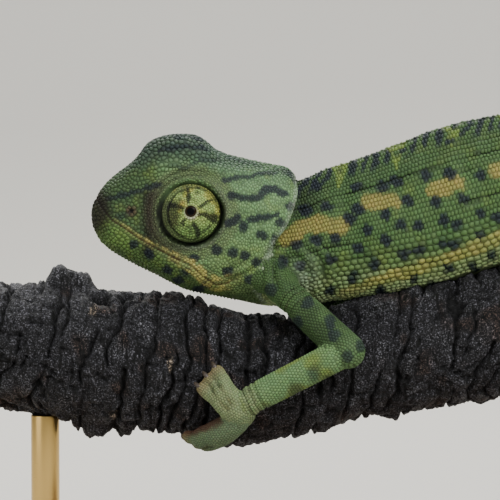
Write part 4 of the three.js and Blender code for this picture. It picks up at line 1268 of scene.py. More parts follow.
def flank_seeds(side):
    """Rows of places that run the length of the trunk, every other row set on by half a step."""
    rows = []
    for i in range(FLANK_ROWS):
        height = np.interp((i + 0.5) / FLANK_ROWS, flank_arc, flank_h)
        wide, _ = flank_room(flank_x, height)
        count = np.concatenate([[0], np.cumsum(np.diff(flank_x) / wide[1:])])
        place = np.arange(0.3 + 0.5 * (i % 2), count[-1], 1)
        x = np.interp(place + random.normal(0, 0.09, len(place)), count, flank_x)
        wave = 0.006 * noise(np.column_stack([x * 0.35, 0 * x + 0.22 * i, 0 * x + side]), 93)
        wave = wave + random.normal(0, 0.0015, len(x))
        rows.append(trunk_surface(x, height + wave, COAT) * (1, side, 1))
    return np.concatenate(rows)


def rings_of(count):
    """The ring that each place lies on, and its turn as a share, when ring i has count[i] places
    and every other ring is set on by half a step."""
    ring = np.repeat(np.arange(len(count)), count)
    place = np.arange(len(ring)) - np.repeat(np.cumsum(count) - count, count) + 0.5 * (ring % 2)
    return ring, place / count[ring]


def tube_seeds(name, room):
    """Rings of places round a tube, as many to a ring as its girth has room for."""
    grid = surfaces[name]["grid"]
    step = np.linalg.norm(np.diff(grid.mean(1), axis=0), axis=1)
    girth = np.linalg.norm(np.roll(grid, -1, axis=1) - grid, axis=2).sum(1)
    slim = np.clip(girth / (2 * np.pi * TUBE_RADIUS), 0.5, 1) if name == "tail" else np.ones(len(girth))
    run = np.concatenate([[0], np.cumsum(step / (RING_STEP * room[0] * slim)[1:])])
    every = np.arange(len(run))
    row = np.interp(np.arange(0.5, run[-1], 1), run, every)
    ring, share = rings_of(np.maximum(np.interp(row, every, girth / (room[1] * slim)).round().astype(int), 5))
    place = share * grid.shape[1]
    i = np.minimum(row[ring].astype(int), len(grid) - 2)
    j = place.astype(int)
    u, v = (row[ring] - i)[:, None], (place - j)[:, None]
    j, k = j % grid.shape[1], (j + 1) % grid.shape[1]
    return mix(mix(grid[i, j], grid[i, k], v), mix(grid[i + 1, j], grid[i + 1, k], v), u)


def line_seeds(line, off, step):
    """Places at even steps along a bent line of the head's side view, `off` to one side of it, cast
    straight in from either side onto the hide."""
    line = np.asarray(line, float)
    run = np.concatenate([[0], np.cumsum(np.linalg.norm(np.diff(line, axis=0), axis=1))])
    t = np.arange(step / 2, run[-1], step)
    at = np.column_stack([np.interp(t, run, line[:, k]) for k in (0, 1)])
    way = unit(np.gradient(at, axis=0))
    x, z = (at + off * np.column_stack([-way[:, 1], way[:, 0]]) + EYE[[0, 2]]).T
    found = []
    for side in (LEFT, RIGHT):
        inward = Vector((0, -side, 0))
        beside = zip(x, np.full(len(x), HEAD_CLEAR * side), z)
        found += [hide_tree.ray_cast(Vector(place), inward)[0] for place in beside]
    return np.array([place for place in found if place is not None])


def nearest(points, others, count, own=False):
    """Which `count` others lie nearest each point; `own` leaves out the first, the point itself."""
    tree = tree_of(others)
    return np.array([[n[1] for n in tree.find_n(p, count + own)][own:] for p in points.tolist()])


def apart(points, others, normals, ahead, size, count, own=False):
    """For each point the ways to its nearest others, along, across and out of the hide, measured
    in its own room for a scale, and which they are."""
    near = nearest(points, others, count, own)
    offset = others[near] - points[:, None]
    a = np.einsum("ijk,ik->ij", offset, ahead) / size[:, :1]
    b = np.einsum("ijk,ik->ij", offset, np.cross(normals, ahead)) / size[:, 1:2]
    c = np.einsum("ijk,ik->ij", offset, normals) / size[:, :2].mean(1, keepdims=True)
    return a, b, c, near


def closest(a, b, c, clear):
    """Which neighbours stand closer than a share of the room for a scale."""
    return np.sqrt(a ** 2 + b ** 2 + c ** 2) < clear


def darts(points, kept, clear, batch):
    """Adds points, in random order, that stand clear of all that are kept already by a share of
    their room for a scale."""
    order = random.permutation(len(points))
    for start in range(0, len(order), batch):
        some = points[order[start:start + batch]]
        normals, _, ahead, size = lie_of(some)
        *ways, _ = apart(some, kept, normals, ahead, size, 8)
        free = ~closest(*ways, clear).any(1)
        some = some[free]
        if len(some) > 8:
            *ways, near = apart(some, some, normals[free], ahead[free], size[free], 8, own=True)
            earlier = near < np.arange(len(some))[:, None]
            kept = np.concatenate([kept, some[~(closest(*ways, clear) & earlier).any(1)]])
    return kept


def bare(points):
    """Where no scale grows: in the mouth line, nostril, eye socket and under the gripping feet."""
    at, r, turn = from_eye(points)
    lips, _ = to_line(at, LIPS)
    height, radius = BOUGH(points[:, 0]).T
    held = np.hypot(points[:, 1], points[:, 2] - height) < radius + 0.15
    head = (points[:, 0] < NAPE_X) & (np.abs(points[:, 1]) > BESIDE)
    return held | (head & ((lips < 0.16) | (from_nostril(at) < 0.4) | (from_socket(r, turn) < 5.1)))


# places in order of rank: crests and lips, then the lattices, then darts in what is left
crest_x = np.arange(-11.5, 60, 0.78)
back_crest = np.column_stack([crest_x, 0 * crest_x, TRUNK(crest_x)[:, 0] - COAT])
throat_share = np.arange(0.06, 0.82, 0.021)
throat_crest = head_surface(throat_share, 0 * throat_share, COAT)
lips = np.concatenate([line_seeds(LIPS[:-1], off, 0.48) for off in (0.36, -0.36)])
BACK_RANK, THROAT_RANK, LIPS_RANK, FLANK_RANKS = 0, 1, 2, (3, 4)
ranks = [back_crest, throat_crest, lips, flank_seeds(LEFT), flank_seeds(RIGHT)]
ranks.append(tube_seeds("tail", SIZES["tail"]))
for name, kind in list(zip(surfaces, kinds))[TAIL_PART + 1:]:
    ranks.append(tube_seeds(name, SIZES.get(kind) or SIZES["bundle" if "bundle" in kind else "toe"]))
rank = np.concatenate([np.full(len(some), i) for i, some in enumerate(ranks)])
seeds, _, near = settled(np.concatenate(ranks), 0.5)
keep = near & ~bare(seeds) & ((in_armpit(seeds) < 0.4) | ~np.isin(rank, FLANK_RANKS))
seeds, rank = seeds[keep], rank[keep]
normals, _, ahead, size = lie_of(seeds)
*ways, near = apart(seeds, seeds, normals, ahead, size, 5, own=True)
keep = ~(closest(*ways, 0.6) & (near < np.arange(len(seeds))[:, None])).any(1)
seeds, rank = seeds[keep], rank[keep]
first = len(seeds)

# random points in each quad of the hide for the darts, two on the head and one elsewhere; the
# head's seeds are then evened out, each moved twice to the middle of the points that are nearest it
spread = random.random((len(hide_quads), 2, 2))[..., None]
corner = hide[hide_quads][:, None]
one_edge = mix(corner[:, :, 0], corner[:, :, 1], spread[:, :, 0])
other_edge = mix(corner[:, :, 3], corner[:, :, 2], spread[:, :, 0])
scattered = mix(one_edge, other_edge, spread[:, :, 1])
on_head = hide_keys[hide_quads[:, 0], 0] == HEAD_PART
head_points = scattered[on_head].reshape(-1, 3)
head_points = head_points[~bare(head_points)]
seeds = darts(head_points, seeds, 0.74, 5000)
for _ in range(2):
    near = nearest(head_points, seeds, 1)[:, 0]
    share = np.bincount(near, minlength=len(seeds))[:, None]
    total = np.column_stack([np.bincount(near, head_points[:, k], len(seeds)) for k in range(3)])
    middle = np.where(share > 0, total / np.maximum(share, 1), seeds)
    seeds[first:] = settled(middle[first:], 1)[0]
rest = scattered[~on_head, 0]
seeds = darts(rest[~bare(rest)], seeds, 0.8, 20000)
rank = np.concatenate([rank, np.full(len(seeds) - len(rank), len(ranks))])


def bed_of(seeds, normals, ahead, size, crest):
    """All that the scales of one bed need: their places, the way they lie, their room, whether
    each is a cone of a crest, and the ways to their neighbours."""
    ways = apart(seeds, seeds, normals, ahead, size, 14, own=True)
    return {"seeds": seeds, "normals": normals, "ahead": ahead, "size": size, "crest": crest, "ways": ways}


def cell_edges(a, b, c, sides):
    """How far a cell reaches each way round its seed: to the nearest line that halves the way to a
    neighbour, as in a Voronoi cell, and at most a little over half of the room. Also which
    neighbour that is, and the angles."""
    turn = np.arange(sides) * 2 * np.pi / sides
    away = np.hypot(a, b)
    with np.errstate(divide="ignore", invalid="ignore"):
        towards = (a[..., None] * np.cos(turn) + b[..., None] * np.sin(turn)) / away[..., None]
        reach = np.where((towards > 0.05) & (np.abs(c) < 1.2)[..., None], 0.5 * away[..., None] / towards, 9)
    return np.clip(reach.min(1), 0.2, 0.64), reach.argmin(1), turn


def scale_piece(name, bed, chosen, sides, colours, unwrap):
    """One mesh of closed domes. Each has its rim sunk in the hide, a ring at four fifths of its
    reach and over half its height, and its top; a crest scale narrows to a point. The rim shares
    its pigment with the neighbour on that side, so that markings have soft edges. Painted shade
    darkens each dome towards its rim, most where it meets the next row, and its top is a little lighter."""
    *ways, near = (value[chosen] for value in bed["ways"])
    reach, beside, turn = cell_edges(*ways, sides)
    n = int(chosen.sum())
    own = colours[chosen][:, None]
    other = colours[np.take_along_axis(near, beside, 1)]
    parts = ("seeds", "normals", "ahead", "size", "crest")
    place, normals, ahead, size, peak = (bed[key][chosen] for key in parts)
    across = np.cross(normals, ahead)
    high = size[:, 2] * random.uniform(0.85, 1.15, n)
    ring = np.column_stack([np.ones(n), np.where(peak, 0.58, 0.82)])
    lift = np.column_stack([np.full(n, -RIM_DEPTH), high * np.where(peak, 0.45, 0.62)])
    a = CELL_SHARE[0] * ring[..., None] * reach[:, None] * np.cos(turn)
    b = CELL_SHARE[1] * ring[..., None] * reach[:, None] * np.sin(turn)
    rings = (
        place[:, None, None]
        + a[..., None] * (ahead * size[:, :1])[:, None, None]
        + b[..., None] * (across * size[:, 1:2])[:, None, None]
        + lift[..., None, None] * normals[:, None, None]
    )
    top = place + high[:, None] * normals
    points = np.concatenate([rings.reshape(n, -1, 3), top[:, None]], axis=1)
    j = np.arange(sides)
    k = (j + 1) % sides
    start = (np.arange(n) * (2 * sides + 1))[:, None, None]
    quads = np.stack([j, k, k + sides, j + sides], -1) + start
    fans = np.stack([j + sides, k + sides, np.full(sides, 2 * sides)], -1) + start
    bottom = j[::-1] + start[:, 0]
    # painted shade: darker towards the rim, most between rows, less on the middle ring, and a little lighter
    # on top
    rim = np.clip(1 - 2.4 * size[:, 2], 0.45, 0.8)[:, None] + 0.2 * np.cos(turn) ** 2
    shade = np.concatenate([rim, np.full((n, sides), 0.96), np.full((n, 1), 1.03)], axis=1)
    vary = random.uniform(0.9, 1.1, (n, 1, 1)) * (1 + random.uniform(-0.05, 0.05, (n, 1, 3)))
    blend = np.concatenate([mix(own, other, 0.5), mix(own, other, 0.25), own], axis=1)
    pigment = np.clip(blend * shade[..., None] * vary, 0, 1).reshape(-1, 3)
    local = np.concatenate([np.stack([a, b], -1).reshape(n, -1, 2), np.zeros((n, 1, 2))], axis=1)
    flat = (unwrap[:, None] + PATCH * local).reshape(-1, 2)
    groups = [quads.reshape(-1, 4), fans.reshape(-1, 3), bottom]
    made = build_mesh(name, points.reshape(-1, 3), groups, pigment, flat)
    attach(made, "root")
    return made


normals, keys, ahead, size = lie_of(seeds)
for number, name in ((BACK_RANK, "back_crest"), (THROAT_RANK, "throat_crest"), (LIPS_RANK, "lips")):
    size[rank == number] = SIZES[name]
bed = bed_of(seeds, normals, ahead, size, rank < LIPS_RANK)
part = keys[:, 0].astype(int)
limbs = ["_".join(name.split("_")[:2]) if name[:4] in ("fore", "hind") else name for name in surfaces]
body = np.array(limbs)[part]
halved = np.char.add(body, np.where(seeds[:, 1] < 0, "_left", "_right"))
body = np.where(np.isin(body, ["head", "trunk"]), halved, body)
colours = marked(seeds, normals, keys)
colours = np.where((rank == BACK_RANK)[:, None], mix(colours, linear(PALE), 0.3), colours)
coat = []
for name in np.unique(body):
    chosen = body == name
    strips, strip = np.unique(part[chosen], return_inverse=True)
    along, around = 0.01 + 0.98 * keys[chosen, 1], 0.02 + 0.96 * keys[chosen, 2]
    unwrap = np.column_stack([along, (strip + around) / len(strips)])
    sides = 8 if name.startswith(("head", "trunk")) else 7
    coat.append(scale_piece("scales_" + name, bed, chosen, sides, colours, unwrap))

# the scales of the joined lids stand in rings about the opening
LID_RINGS = np.arange(1.12, 4.42, 0.34)
LID_UNWRAP = 0.096  # of the unwrap's width for each millimetre from the eye's axis
for side, name in ((LEFT, "scales_lids_left"), (RIGHT, "scales_lids_right")):
    ring, share = rings_of((2 * np.pi * LID_RINGS / SIZES["turret"][0]).round().astype(int))
    r = np.maximum(LID_RINGS[ring] + random.normal(0, 0.045, len(ring)), 1.08)
    turn = share * 2 * np.pi + random.normal(0, 0.07, len(ring)) / r

    def on_lids(r, turn):
        """Places on the lids' hide, at a distance from this eye's axis and an angle round it."""
        x, z = r * np.cos(turn), r * np.sin(turn)
        return about_eye(x, z, turret_out(x, z) - LID_INSET, side)

    seeds = on_lids(r, turn)
    ahead = unit(on_lids(r, turn + 0.01) - seeds)
    normals = unit(np.cross(on_lids(r + 0.01, turn) - seeds, ahead))
    normals = normals * np.sign(normals[:, 1:2] * side)
    every = np.ones(len(r), bool)
    bed = bed_of(seeds, normals, ahead, np.tile(SIZES["turret"], (len(r), 1)), ~every)
    unwrap = 0.5 + LID_UNWRAP * np.column_stack([r * np.cos(turn), r * np.sin(turn)])
    coat.append(scale_piece(name, bed, every, 7, lid_colour(on_eye(seeds)), unwrap))


def feed(tree, made, inputs):
    """Puts values or links on a node's inputs. A node stands for its first output."""
    for name, value in inputs.items():
        if isinstance(value, bpy.types.Node):
            value = value.outputs[0]
        if isinstance(value, bpy.types.NodeSocket):
            tree.links.new(value, made.inputs[name])
        else:
            made.inputs[name].default_value = value


def node(tree, kind, inputs=None, stops=(), **settings):
    """A shader node with its settings, with values or links on its inputs, and with the stops of
    its colour ramp as (place, hex)."""
    made = tree.nodes.new("ShaderNode" + kind)
    for name, value in settings.items():
        setattr(made, name, value)
    feed(tree, made, inputs or {})
    for i, (place, code) in enumerate(stops):
        if i > 1:
            made.color_ramp.elements.new(place)
        made.color_ramp.elements[i].position = place
        made.color_ramp.elements[i].color = (*linear(code), 1)
    return made


def material(name, values):
    """A material with values on its principled shader."""
    made = bpy.data.materials.new(name)
    made.use_nodes = True
    shader = made.node_tree.nodes["Principled BSDF"]
    feed(made.node_tree, shader, values)
    return made, made.node_tree, shader


# matt horn over living hide, a little shiny where the light strikes the domes; the shine comes and
# goes from one half millimetre to the next
PIGMENT = {"attribute_name": "pigment", "attribute_type": "GEOMETRY"}
hide_finish, tree, shader = material("living scaly hide", {"Roughness": 0.62, "Specular IOR Level": 0.25})
pigment = node(tree, "Attribute", **PIGMENT)
here = node(tree, "TexCoord").outputs["Object"]
wear = node(tree, "TexNoise", {"Vector": here, "Scale": 2000, "Detail": 2})
dull = node(tree, "MapRange", {"Value": wear, "To Min": 0.5, "To Max": 0.74})
feed(tree, shader, {"Base Color": pigment, "Roughness": dull})
for piece in [skin, *coat]:
    piece.data.materials.append(hide_finish)


# ---------------- eyes
# Dark bulging eyeballs, wet and glossy, of which the joined lids leave only the pupil to be seen.

EYEBALL = 3.25  # radius
PUPIL, IRIS = "#060607", "#6e5324"
IRIS_RING = 0.78  # radius at which a trace of the iris shows
eyes = []
tilt = np.linspace(0.01, np.pi - 0.01, 40)[:, None]
turn = full_turn(48)
ball_x, ball_z = EYEBALL * np.sin(tilt) * np.cos(turn), EYEBALL * np.sin(tilt) * np.sin(turn)
for side, name in ((LEFT, "eye_left"), (RIGHT, "eye_right")):
    ball, faces = closed(about_eye(ball_x, ball_z, EYEBALL * np.cos(tilt) - 0.04 + 0 * turn, side))
    ring = bump(np.hypot(*on_eye(ball).T) - IRIS_RING, 0.05) * (ball[:, 1] * side > EYE[1])
    eye = build_mesh(name + "ball", ball, faces, painted(linear(PUPIL), [(IRIS, 0.3 * ring)]))
    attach(eye, "root")
    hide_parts(name)
    eyes.append(eye)
# clear wet cornea over a black pupil, with a soft highlight
wet, tree, shader = material("wet eye", {"Roughness": 0.22, "Specular IOR Level": 0.12})
feed(tree, shader, {"Base Color": node(tree, "Attribute", **PIGMENT)})
for eye in eyes:
    eye.data.materials.append(wet)


# ---------------- claws
# One curved claw of grey-brown horn at the end of each toe, hooked into the bark.

# [share from root to tip, radius]
CLAW_RADII = track([[0, 0.5], [0.5, 0.42], [0.85, 0.2], [1, 0.04]])
CLAW_ROOT, CLAW_TIP = "#33291f", "#4b4033"
claw_share = np.linspace(0, 1, 12)
claw_turn = full_turn(10)
claw_wide = CLAW_RADII(claw_share)[:, 0]
claw_rings = {"at": claw_share, "across": 0.8 * claw_wide, "thick": claw_wide}
hooks = [closed(swept(route(line), claw_rings, claw_turn, (0, 1, 0), 0.02)) for line in claw_lines]
hooks, hook_faces = merged(hooks)
to_tip = np.tile(np.concatenate([np.repeat(claw_share, len(claw_turn)), [0, 1]]), len(claw_lines))
horn_shade = painted(linear(CLAW_ROOT), [(CLAW_TIP, to_tip ** 2)])
horn_shade = horn_shade * (1 + 0.2 * noise(hooks * (3, 3, 9), 141)[:, None])
claws = build_mesh("claws", hooks, hook_faces, horn_shade)
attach(claws, "root")
# smooth horn: dark at the root, paler at the tip, streaked, with a soft shine
horn, tree, shader = material("claw horn", {"Roughness": 0.35})
feed(tree, shader, {"Base Color": node(tree, "Attribute", **PIGMENT)})
claws.data.materials.append(horn)


# ---------------- perch
# A cut length of bough from a burnt tree: thick dead bark, charred black, split across into blocks
# with deep cracks between them, and weathered wood in rings at the two sawn ends.

BOUGH_ENDS = (-70.5, 74.4)
# lumps and hollows as [x, turn, height, width]
KNOTS = [
    (-49.2, 88, 2.9, 2.1), (-46.2, 96, 2.3, 1.6), (-52.5, 80, 1.0, 2.6), (-46.2, -92, 1.5, 1.6),
    (-44.2, -86, 1.9, 1.7), (-41.8, -92, 1.6, 1.6), (-39.6, -88, 1.0, 1.4), (-31.0, 96, 0.8, 4.0),
    (-23.0, -92, 0.8, 4.0), (2.2, -90, 0.8, 2.4), (3.0, 70, 0.9, 6.0), (-4.0, 76, 0.7, 3.4),
    (31.0, -100, 1.8, 4.0), (66.0, 80, 1.5, 3.0), (-43.0, 66, -2.8, 1.5), (-39.4, 76, -1.8, 1.3),
    (-38.0, -62, -1.8, 1.2), (20.0, 40, -1.3, 1.5), (52.0, -30, -1.5, 1.6), (-8.0, -48, -0.9, 1.3),
]
HIGHEST = 3.4  # of the bark over the bough
YEAR_RING = 1.15  # apart the rings of growth
CHAR, ASH_AND_HIGHLIGHT, RUST, CRACK_SHADOW, CHIP = "#76757d", "#b4b4bc", "#775a49", "#101010", "#f0d8bc"
WOOD, WOOD_DARK = "#8f7048", "#543a24"
# places where the char has flaked off, as [x, turn, radius]
CHIPS = [
    (-32.2, 6, 0.55), (-43.9, 47, 0.8), (-40.7, -49, 0.9), (24.0, 20, 0.7), (-58.0, 110, 0.8),
    (46.0, 140, 0.7),
]
# rows of cracks as apart, deep, widest and least presence, and of crumbs as how many to a mm and high
CRACK_ROWS = ((3.0, 1.2, 0.27, 0.0), (1.5, 0.45, 0.14, 0.5))
CRUMBS = ((0.75, 0.36), (1.6, 0.34), (3.1, 0.26))


def drawn(a, b, c):
    """A fixed random value from -1 to 1 for each three whole numbers."""
    keys = np.column_stack(np.broadcast_arrays(a, b, c)).astype(float)
    return noise(keys * (7, 11, 13), 77)


def off_turn(turn, middle):
    """Way round the bough from `middle` degrees to an angle, in millimetres at its usual radius."""
    return ((np.degrees(turn) - middle + 540) % 360 - 180) * np.pi / 18


def bark_relief(x, turn):
    """Height of the bark over the bough, and how deep each place lies in a crack. Cracks run round
    the bough a few millimetres apart and come and go; short ones part the strips into blocks of
    unlike heights; crumbs of three sizes lie on top, and lumps and hollows are added last."""
    skin = np.column_stack([x, 10 * np.cos(turn), 10 * np.sin(turn)])
    sway = 2.2 * noise(skin * 0.13, 71) + 0.6 * noise(skin * 0.5, 72) + 0.16 * noise(skin * 1.6, 74)
    along = x + sway + 4.0 * ((1 - np.sin(turn)) / 2) ** 2
    around = 10 * turn + 1.3 * noise(skin * 0.25, 73) + 0.3 * noise(skin * 1.2, 75)
    height, crack = np.full(len(x), -0.5), np.zeros(len(x))
    for number, (spacing, deep, widest, least) in enumerate(CRACK_ROWS):
        strip = np.floor(along / spacing)
        for n in (strip - 1, strip, strip + 1):
            middle = (n + 0.5 + 0.35 * drawn(n, 3 + number, 1)) * spacing
            lasting = noise(np.column_stack([n * 5.3 + 0.5, around / 8, 0 * n + number]), 76)
            there = step_up(lasting, least - 0.5, least)
            wide = widest * (0.5 + 0.5 * there)
            line = step_down(np.abs(along - middle), 0.45 * wide, 1.35 * wide) * there
            crack = np.maximum(crack, line * (1 - 0.35 * number))
            height = height - deep * line
        long = 6.5 - 2 * number
        place = around / long + 0.5 * drawn(strip, 5, number)
        edge = (0.5 - np.abs(place % 1 - 0.5)) * long
        split = step_down(edge, 0.08, 0.34) * (drawn(strip, np.round(place), 8 + number) > 0.3)
        height = height + (0.26 - 0.14 * number) * drawn(strip, np.floor(place), number) - 0.5 * split
        crack = np.maximum(crack, 0.7 * split)
    height = height + 0.25 * noise(skin * 0.38, 100)
    for i, (often, high) in enumerate(CRUMBS):
        height = height + high * (np.abs(noise(skin * often, 101 + i)) - 0.3)
    for kx, kt, high, wide in KNOTS:
        lump = np.exp(-(((x - kx) ** 2 + off_turn(turn, kt) ** 2) / wide ** 2) ** 1.7)
        height = height + high * lump
        crack = np.maximum(crack, min(-high / 2.2, 1) * lump)
    return height, np.clip(crack, 0, 1), skin


BARK_GRID = (600, 156)  # points along the bough and round it
bough_x = np.linspace(*BOUGH_ENDS, BARK_GRID[0])
bough_turn = full_turn(BARK_GRID[1])
bx, bt = (v.ravel() for v in crossed(bough_x, bough_turn))
relief, crack, bark_at = bark_relief(bx, bt)
# evened a little along the bough
relief = relief.reshape(BARK_GRID)
relief = (0.7 * relief + 0.15 * np.roll(relief, 1, 0) + 0.15 * np.roll(relief, -1, 0)).ravel()
outside = on_bough(bx, np.degrees(bt), np.minimum(relief, HIGHEST), LEFT).reshape(*BARK_GRID, 3)
shade = painted(linear(CHAR), [
    (RUST, 0.75 * patchy(bark_at, 0.33, 111, 0.3, 0.6)),
    # ash in patches, and painted highlight on the raised crumbs
    (ASH_AND_HIGHLIGHT, 0.5 * patchy(bark_at, 0.5, 112, 0.1, 0.7) + 0.4 * step_up(relief, 0.1, 0.6)),
])
ragged = 0.3 * noise(bark_at * 1.5, 113)
shade = painted(shade * (0.72 + 0.28 * noise(bark_at * 0.9, 114)[:, None]), [
    *[
        (CHIP, step_down(np.hypot(bx - x, 0.6 * off_turn(bt, turn)) + ragged, 0.6 * wide, wide))
        for x, turn, wide in CHIPS
    ],
    # painted shadow in the cracks, splits and hollows
    (CRACK_SHADOW, 0.97 * np.clip(crack * 1.3, 0, 1)),
])


def sawn(ring, x, way):
    """Rings of a sawn end, from the bark in to the pith, a little rough."""
    middle = ring.mean(0)
    share = np.array([0.985, 0.93, 0.9, 0.8, 0.65, 0.5, 0.35, 0.2, 0.06])[:, None, None]
    disc = middle + (ring - middle) * share
    disc[..., 0] = x + way * (-0.12 + 0.05 * noise(disc.reshape(-1, 3) * 0.9, 121).reshape(disc.shape[:2]))
    disc[:2, :, 0] = x + way * np.array([[-0.02], [-0.1]])
    return disc


first_end = sawn(outside[0], BOUGH_ENDS[0], -1)[::-1]
last_end = sawn(outside[-1], BOUGH_ENDS[1], 1)
bough_points, bough_faces = closed(np.concatenate([first_end, outside, last_end]))


def wood_colour(points):
    """Rings of growth about a pith a little off the middle, and char under the bark."""
    height, radius = BOUGH(points[:, 0]).T
    r = np.hypot(points[:, 1] - 0.8, points[:, 2] - height - 0.5) + 0.3 * noise(points * 0.3, 131)
    rings = 0.5 + 0.5 * np.sin(2 * np.pi * r / YEAR_RING)
    return painted(linear(WOOD), [(WOOD_DARK, rings), (CHAR, step_up(r, radius - 2.4, radius - 1.6))])


caps = [wood_colour(end.reshape(-1, 3)) for end in (first_end, last_end)]
middles = wood_colour(bough_points[-2:])
bough_shade = np.concatenate([caps[0], shade, caps[1], middles])
bough = build_mesh("bark_bough", bough_points, bough_faces, bough_shade)
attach(bough, "root")
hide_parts("perch_bough")
# charred bark: black, with a dense sparkle a quarter of a millimetre across, partly ash and burnt crumbs and
# partly painted glints
bark, tree, shader = material("charred bark", {"Roughness": 0.6, "Specular IOR Level": 0.3})
here = node(tree, "TexCoord").outputs["Object"]
crumb = node(tree, "TexNoise", {"Vector": here, "Scale": 4300, "Detail": 1, "Roughness": 0.6})
# ash, crumbs and painted glints, multiplied onto the bark's colour
ASH_AND_GLINT_STOPS = ((0.38, "#1c1c1c"), (0.5, "#474747"), (0.6, "#8c8c8c"), (0.7, "#ffffff"))
sparkle = node(tree, "ValToRGB", {"Fac": crumb}, ASH_AND_GLINT_STOPS)
stretch = node(tree, "Mapping", {"Vector": here, "Scale": (1500, 330, 330)})
along_strips = {"Vector": stretch, "Scale": 1, "Detail": 3, "Distortion": 0.6}
strips = node(tree, "TexNoise", along_strips)
# painted shade in the fine grooves that the strips of the bump make
SEAM_SHADE_STOPS = ((0.37, "#262626"), (0.41, "#ffffff"))
seam_shade = node(tree, "ValToRGB", {"Fac": strips}, SEAM_SHADE_STOPS)
burnt = node(tree, "Attribute", **PIGMENT)
FACTOR, FIRST_COLOUR, SECOND_COLOUR, MIXED_COLOUR = 0, 6, 7, 2  # the colour sockets of a mix node
for layer in (sparkle, seam_shade):
    both = {FACTOR: 1.0, FIRST_COLOUR: burnt, SECOND_COLOUR: layer}
    burnt = node(tree, "Mix", both, data_type="RGBA", blend_type="MULTIPLY").outputs[MIXED_COLOUR]
grain = node(tree, "TexNoise", {"Vector": here, "Scale": 1700, "Detail": 4, "Roughness": 0.7})
ridges = node(tree, "Math", {0: strips, 1: 0.8, 2: grain}, operation="MULTIPLY_ADD")
rough = node(tree, "Bump", {"Height": ridges, "Strength": 1.0, "Distance": 0.0009})
feed(tree, shader, {"Base Color": burnt, "Normal": rough})
bough.data.materials.append(bark)


# ---------------- stand
# A museum stand: a waxed walnut base with a softened edge, and two satin brass rods that run from
# round collars up into the underside of the bough.

CORNER = 12  # radius of the base's corners
EDGE = 1.2  # radius of the softened edge
BRASS = "#c8a765"
soft = np.linspace(0, np.pi / 2, 7)
quarter = np.linspace(0, np.pi / 2, 14)


def slab_ring(half, corner, z):
    """A rounded rectangle at height z: four quarter circles about the corners' middles."""
    turn = (quarter + np.arange(4)[:, None] * np.pi / 2).ravel()
    middle = (half - corner) * np.repeat([[1, 1], [-1, 1], [-1, -1], [1, -1]], len(quarter), axis=0)
    place = middle + corner * np.column_stack([np.cos(turn), np.sin(turn)])
    return np.column_stack([place, np.full(len(turn), z)])


def dress(made, stand_node):
    """Puts a finished piece in the place of the stand's plain solid."""
    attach(made, "root")
    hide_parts(stand_node)


lo, hi = (np.array(v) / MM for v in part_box("stand_base"))
half, top = hi[:2], hi[2]
# rings of the slab as [inset, height]: a small bevel below, a rounded edge above, then the flat top
insets = [(0.6, 0), (0, 0.6)]
insets += [(EDGE * (1 - np.cos(t)), top - EDGE * (1 - np.sin(t))) for t in soft]
insets += [(inset, top) for inset in (1.6, 4, 12, 30)]
slab = np.array([slab_ring(half - inset, max(CORNER - inset, 1), z) for inset, z in insets])
plinth = build_mesh("walnut_base", *closed(slab))
dress(plinth, "stand_base")
# waxed walnut: long wavy grain, darker pores, a low sheen that the grain breaks up
walnut, tree, shader = material("waxed walnut", {"Roughness": 0.42})
here = node(tree, "TexCoord").outputs["Object"]
stretch = node(tree, "Mapping", {"Vector": here, "Scale": (9, 90, 60)})
waves = node(tree, "TexNoise", {"Vector": stretch, "Scale": 2.2, "Detail": 6, "Distortion": 1.1})
GRAIN = ((0.32, "#2e1c12"), (0.68, "#6d4629"))
grain = node(tree, "ValToRGB", {"Fac": waves}, GRAIN)
pores = node(tree, "TexNoise", {"Vector": stretch, "Scale": 24, "Detail": 3})
open_pores = node(tree, "Bump", {"Height": pores, "Strength": 0.25, "Distance": 0.0002})
feed(tree, shader, {"Base Color": grain, "Normal": open_pores})
plinth.data.materials.append(walnut)

# turned brass with a satin finish: fine rings left by the tool, a fifth of a millimetre apart
brass_colour = (*linear(BRASS), 1)
brass, tree, shader = material("satin brass", {"Base Color": brass_colour, "Roughness": 0.3, "Metallic": 1.0})
here = node(tree, "TexCoord").outputs["Object"]
along_rod = node(tree, "Mapping", {"Vector": here, "Scale": (60, 60, 5000)})
turned = node(tree, "TexNoise", {"Vector": along_rod, "Scale": 1, "Detail": 2})
polish = node(tree, "MapRange", {"Value": turned, "To Min": 0.22, "To Max": 0.4})
feed(tree, shader, {"Roughness": polish})
turn = full_turn(64)
circle = np.column_stack([np.cos(turn), np.sin(turn), 0 * turn])
for end in ("front", "rear"):
    for kind, bevel in (("rod", 0.15), ("collar", 0.5)):
        stand_node = f"stand_{kind}_{end}"
        lo, hi = (np.array(v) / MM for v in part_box(stand_node))
        radius = (hi[0] - lo[0]) / 2
        profile = [(radius - bevel, lo[2]), (radius, lo[2] + bevel * 0.5)]
        profile += [(radius - bevel * (1 - np.cos(t)), hi[2] - bevel * (1 - np.sin(t))) for t in soft]
        middle = [(lo[0] + hi[0]) / 2, (lo[1] + hi[1]) / 2]
        turned_rings = np.array([r * circle + (*middle, z) for r, z in profile])
        made = build_mesh(f"brass_{kind}_{end}", *closed(turned_rings))
        dress(made, stand_node)
        made.data.materials.append(brass)


# ---------------- studio
# A pale sheet that lies flat under the stand and curves up behind it, and soft lights in panels.

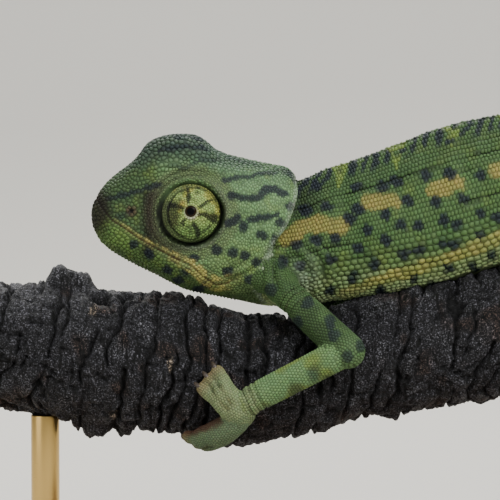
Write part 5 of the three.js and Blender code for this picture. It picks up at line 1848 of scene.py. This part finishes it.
SHEET = "#cfccc4"
REACH = 2500  # of the sheet to either side and to the front
BEHIND = 700  # where the sheet starts to curve up
CURVE = 500  # radius of that curve
SHEET_TOP = 2600
sweep = np.linspace(0, np.pi / 2, 24)
curve = np.column_stack([BEHIND + CURVE * np.sin(sweep), CURVE - CURVE * np.cos(sweep)])
profile = np.concatenate([[[-REACH, 0]], [[BEHIND, 0]], curve[1:], [[BEHIND + CURVE, SHEET_TOP]]])
sides = np.repeat([-REACH, REACH], len(profile))
sheet_points = np.column_stack([sides, np.tile(profile, (2, 1))])
row = np.arange(len(profile) - 1)
sheet_quads = np.stack([row + len(profile), row + len(profile) + 1, row + 1, row], -1)
sheet = build_mesh("sheet", sheet_points, [sheet_quads])
# matt paper
paper, tree, shader = material("pale paper", {"Base Color": (*linear(SHEET), 1), "Roughness": 0.9})
sheet.data.materials.append(paper)

target = Vector((-20.15, 0, 78.3)) * MM  # the middle of the view, on the animal's own middle
BACKDROP = Vector((0, 0.9, 0.2))
LIGHTS = (  # name, place in metres, what it faces, width, watts
    ("key", (0.32, -0.55, 0.62), target, 0.45, 8.5),
    ("fill", (-0.65, -0.5, 0.25), target, 0.6, 2.2),
    ("back", (-0.15, 0.5, 0.6), target, 0.5, 4.0),
    ("sheet light", (0.0, 0.6, 1.3), BACKDROP, 1.2, 16.0),
)
for name, place, aim, width, watts in LIGHTS:
    lamp = bpy.data.lights.new(name, "AREA")
    lamp.size = width
    lamp.energy = watts
    panel = bpy.data.objects.new(name, lamp)
    panel.location = place
    panel.rotation_euler = (aim - panel.location).to_track_quat("-Z", "Y").to_euler()
    bpy.context.scene.collection.objects.link(panel)
world = bpy.data.worlds.new("studio")
bpy.context.scene.world = world
world.use_nodes = True
sky = world.node_tree.nodes["Background"]
sky.inputs["Color"].default_value = (0.85, 0.87, 0.9, 1)
sky.inputs["Strength"].default_value = 0.3

# the camera looks at the animal's left side from a little above its head
FAR = 350  # from the middle of the view
FRAME_WIDTH = 77.5  # of what is in view there
SENSOR = 36
ELEVATION = np.radians(2.5)
camera_data = bpy.data.cameras.new("camera")
camera = bpy.data.objects.new("camera", camera_data)
bpy.context.scene.collection.objects.link(camera)
direction = Vector((0, -np.cos(ELEVATION), np.sin(ELEVATION)))
camera.location = target + direction * FAR * MM
camera.rotation_euler = (-direction).to_track_quat("-Z", "Y").to_euler()
camera_data.sensor_width = SENSOR
camera_data.lens = SENSOR * FAR / FRAME_WIDTH
camera_data.clip_start = 0.01
bpy.context.scene.camera = camera
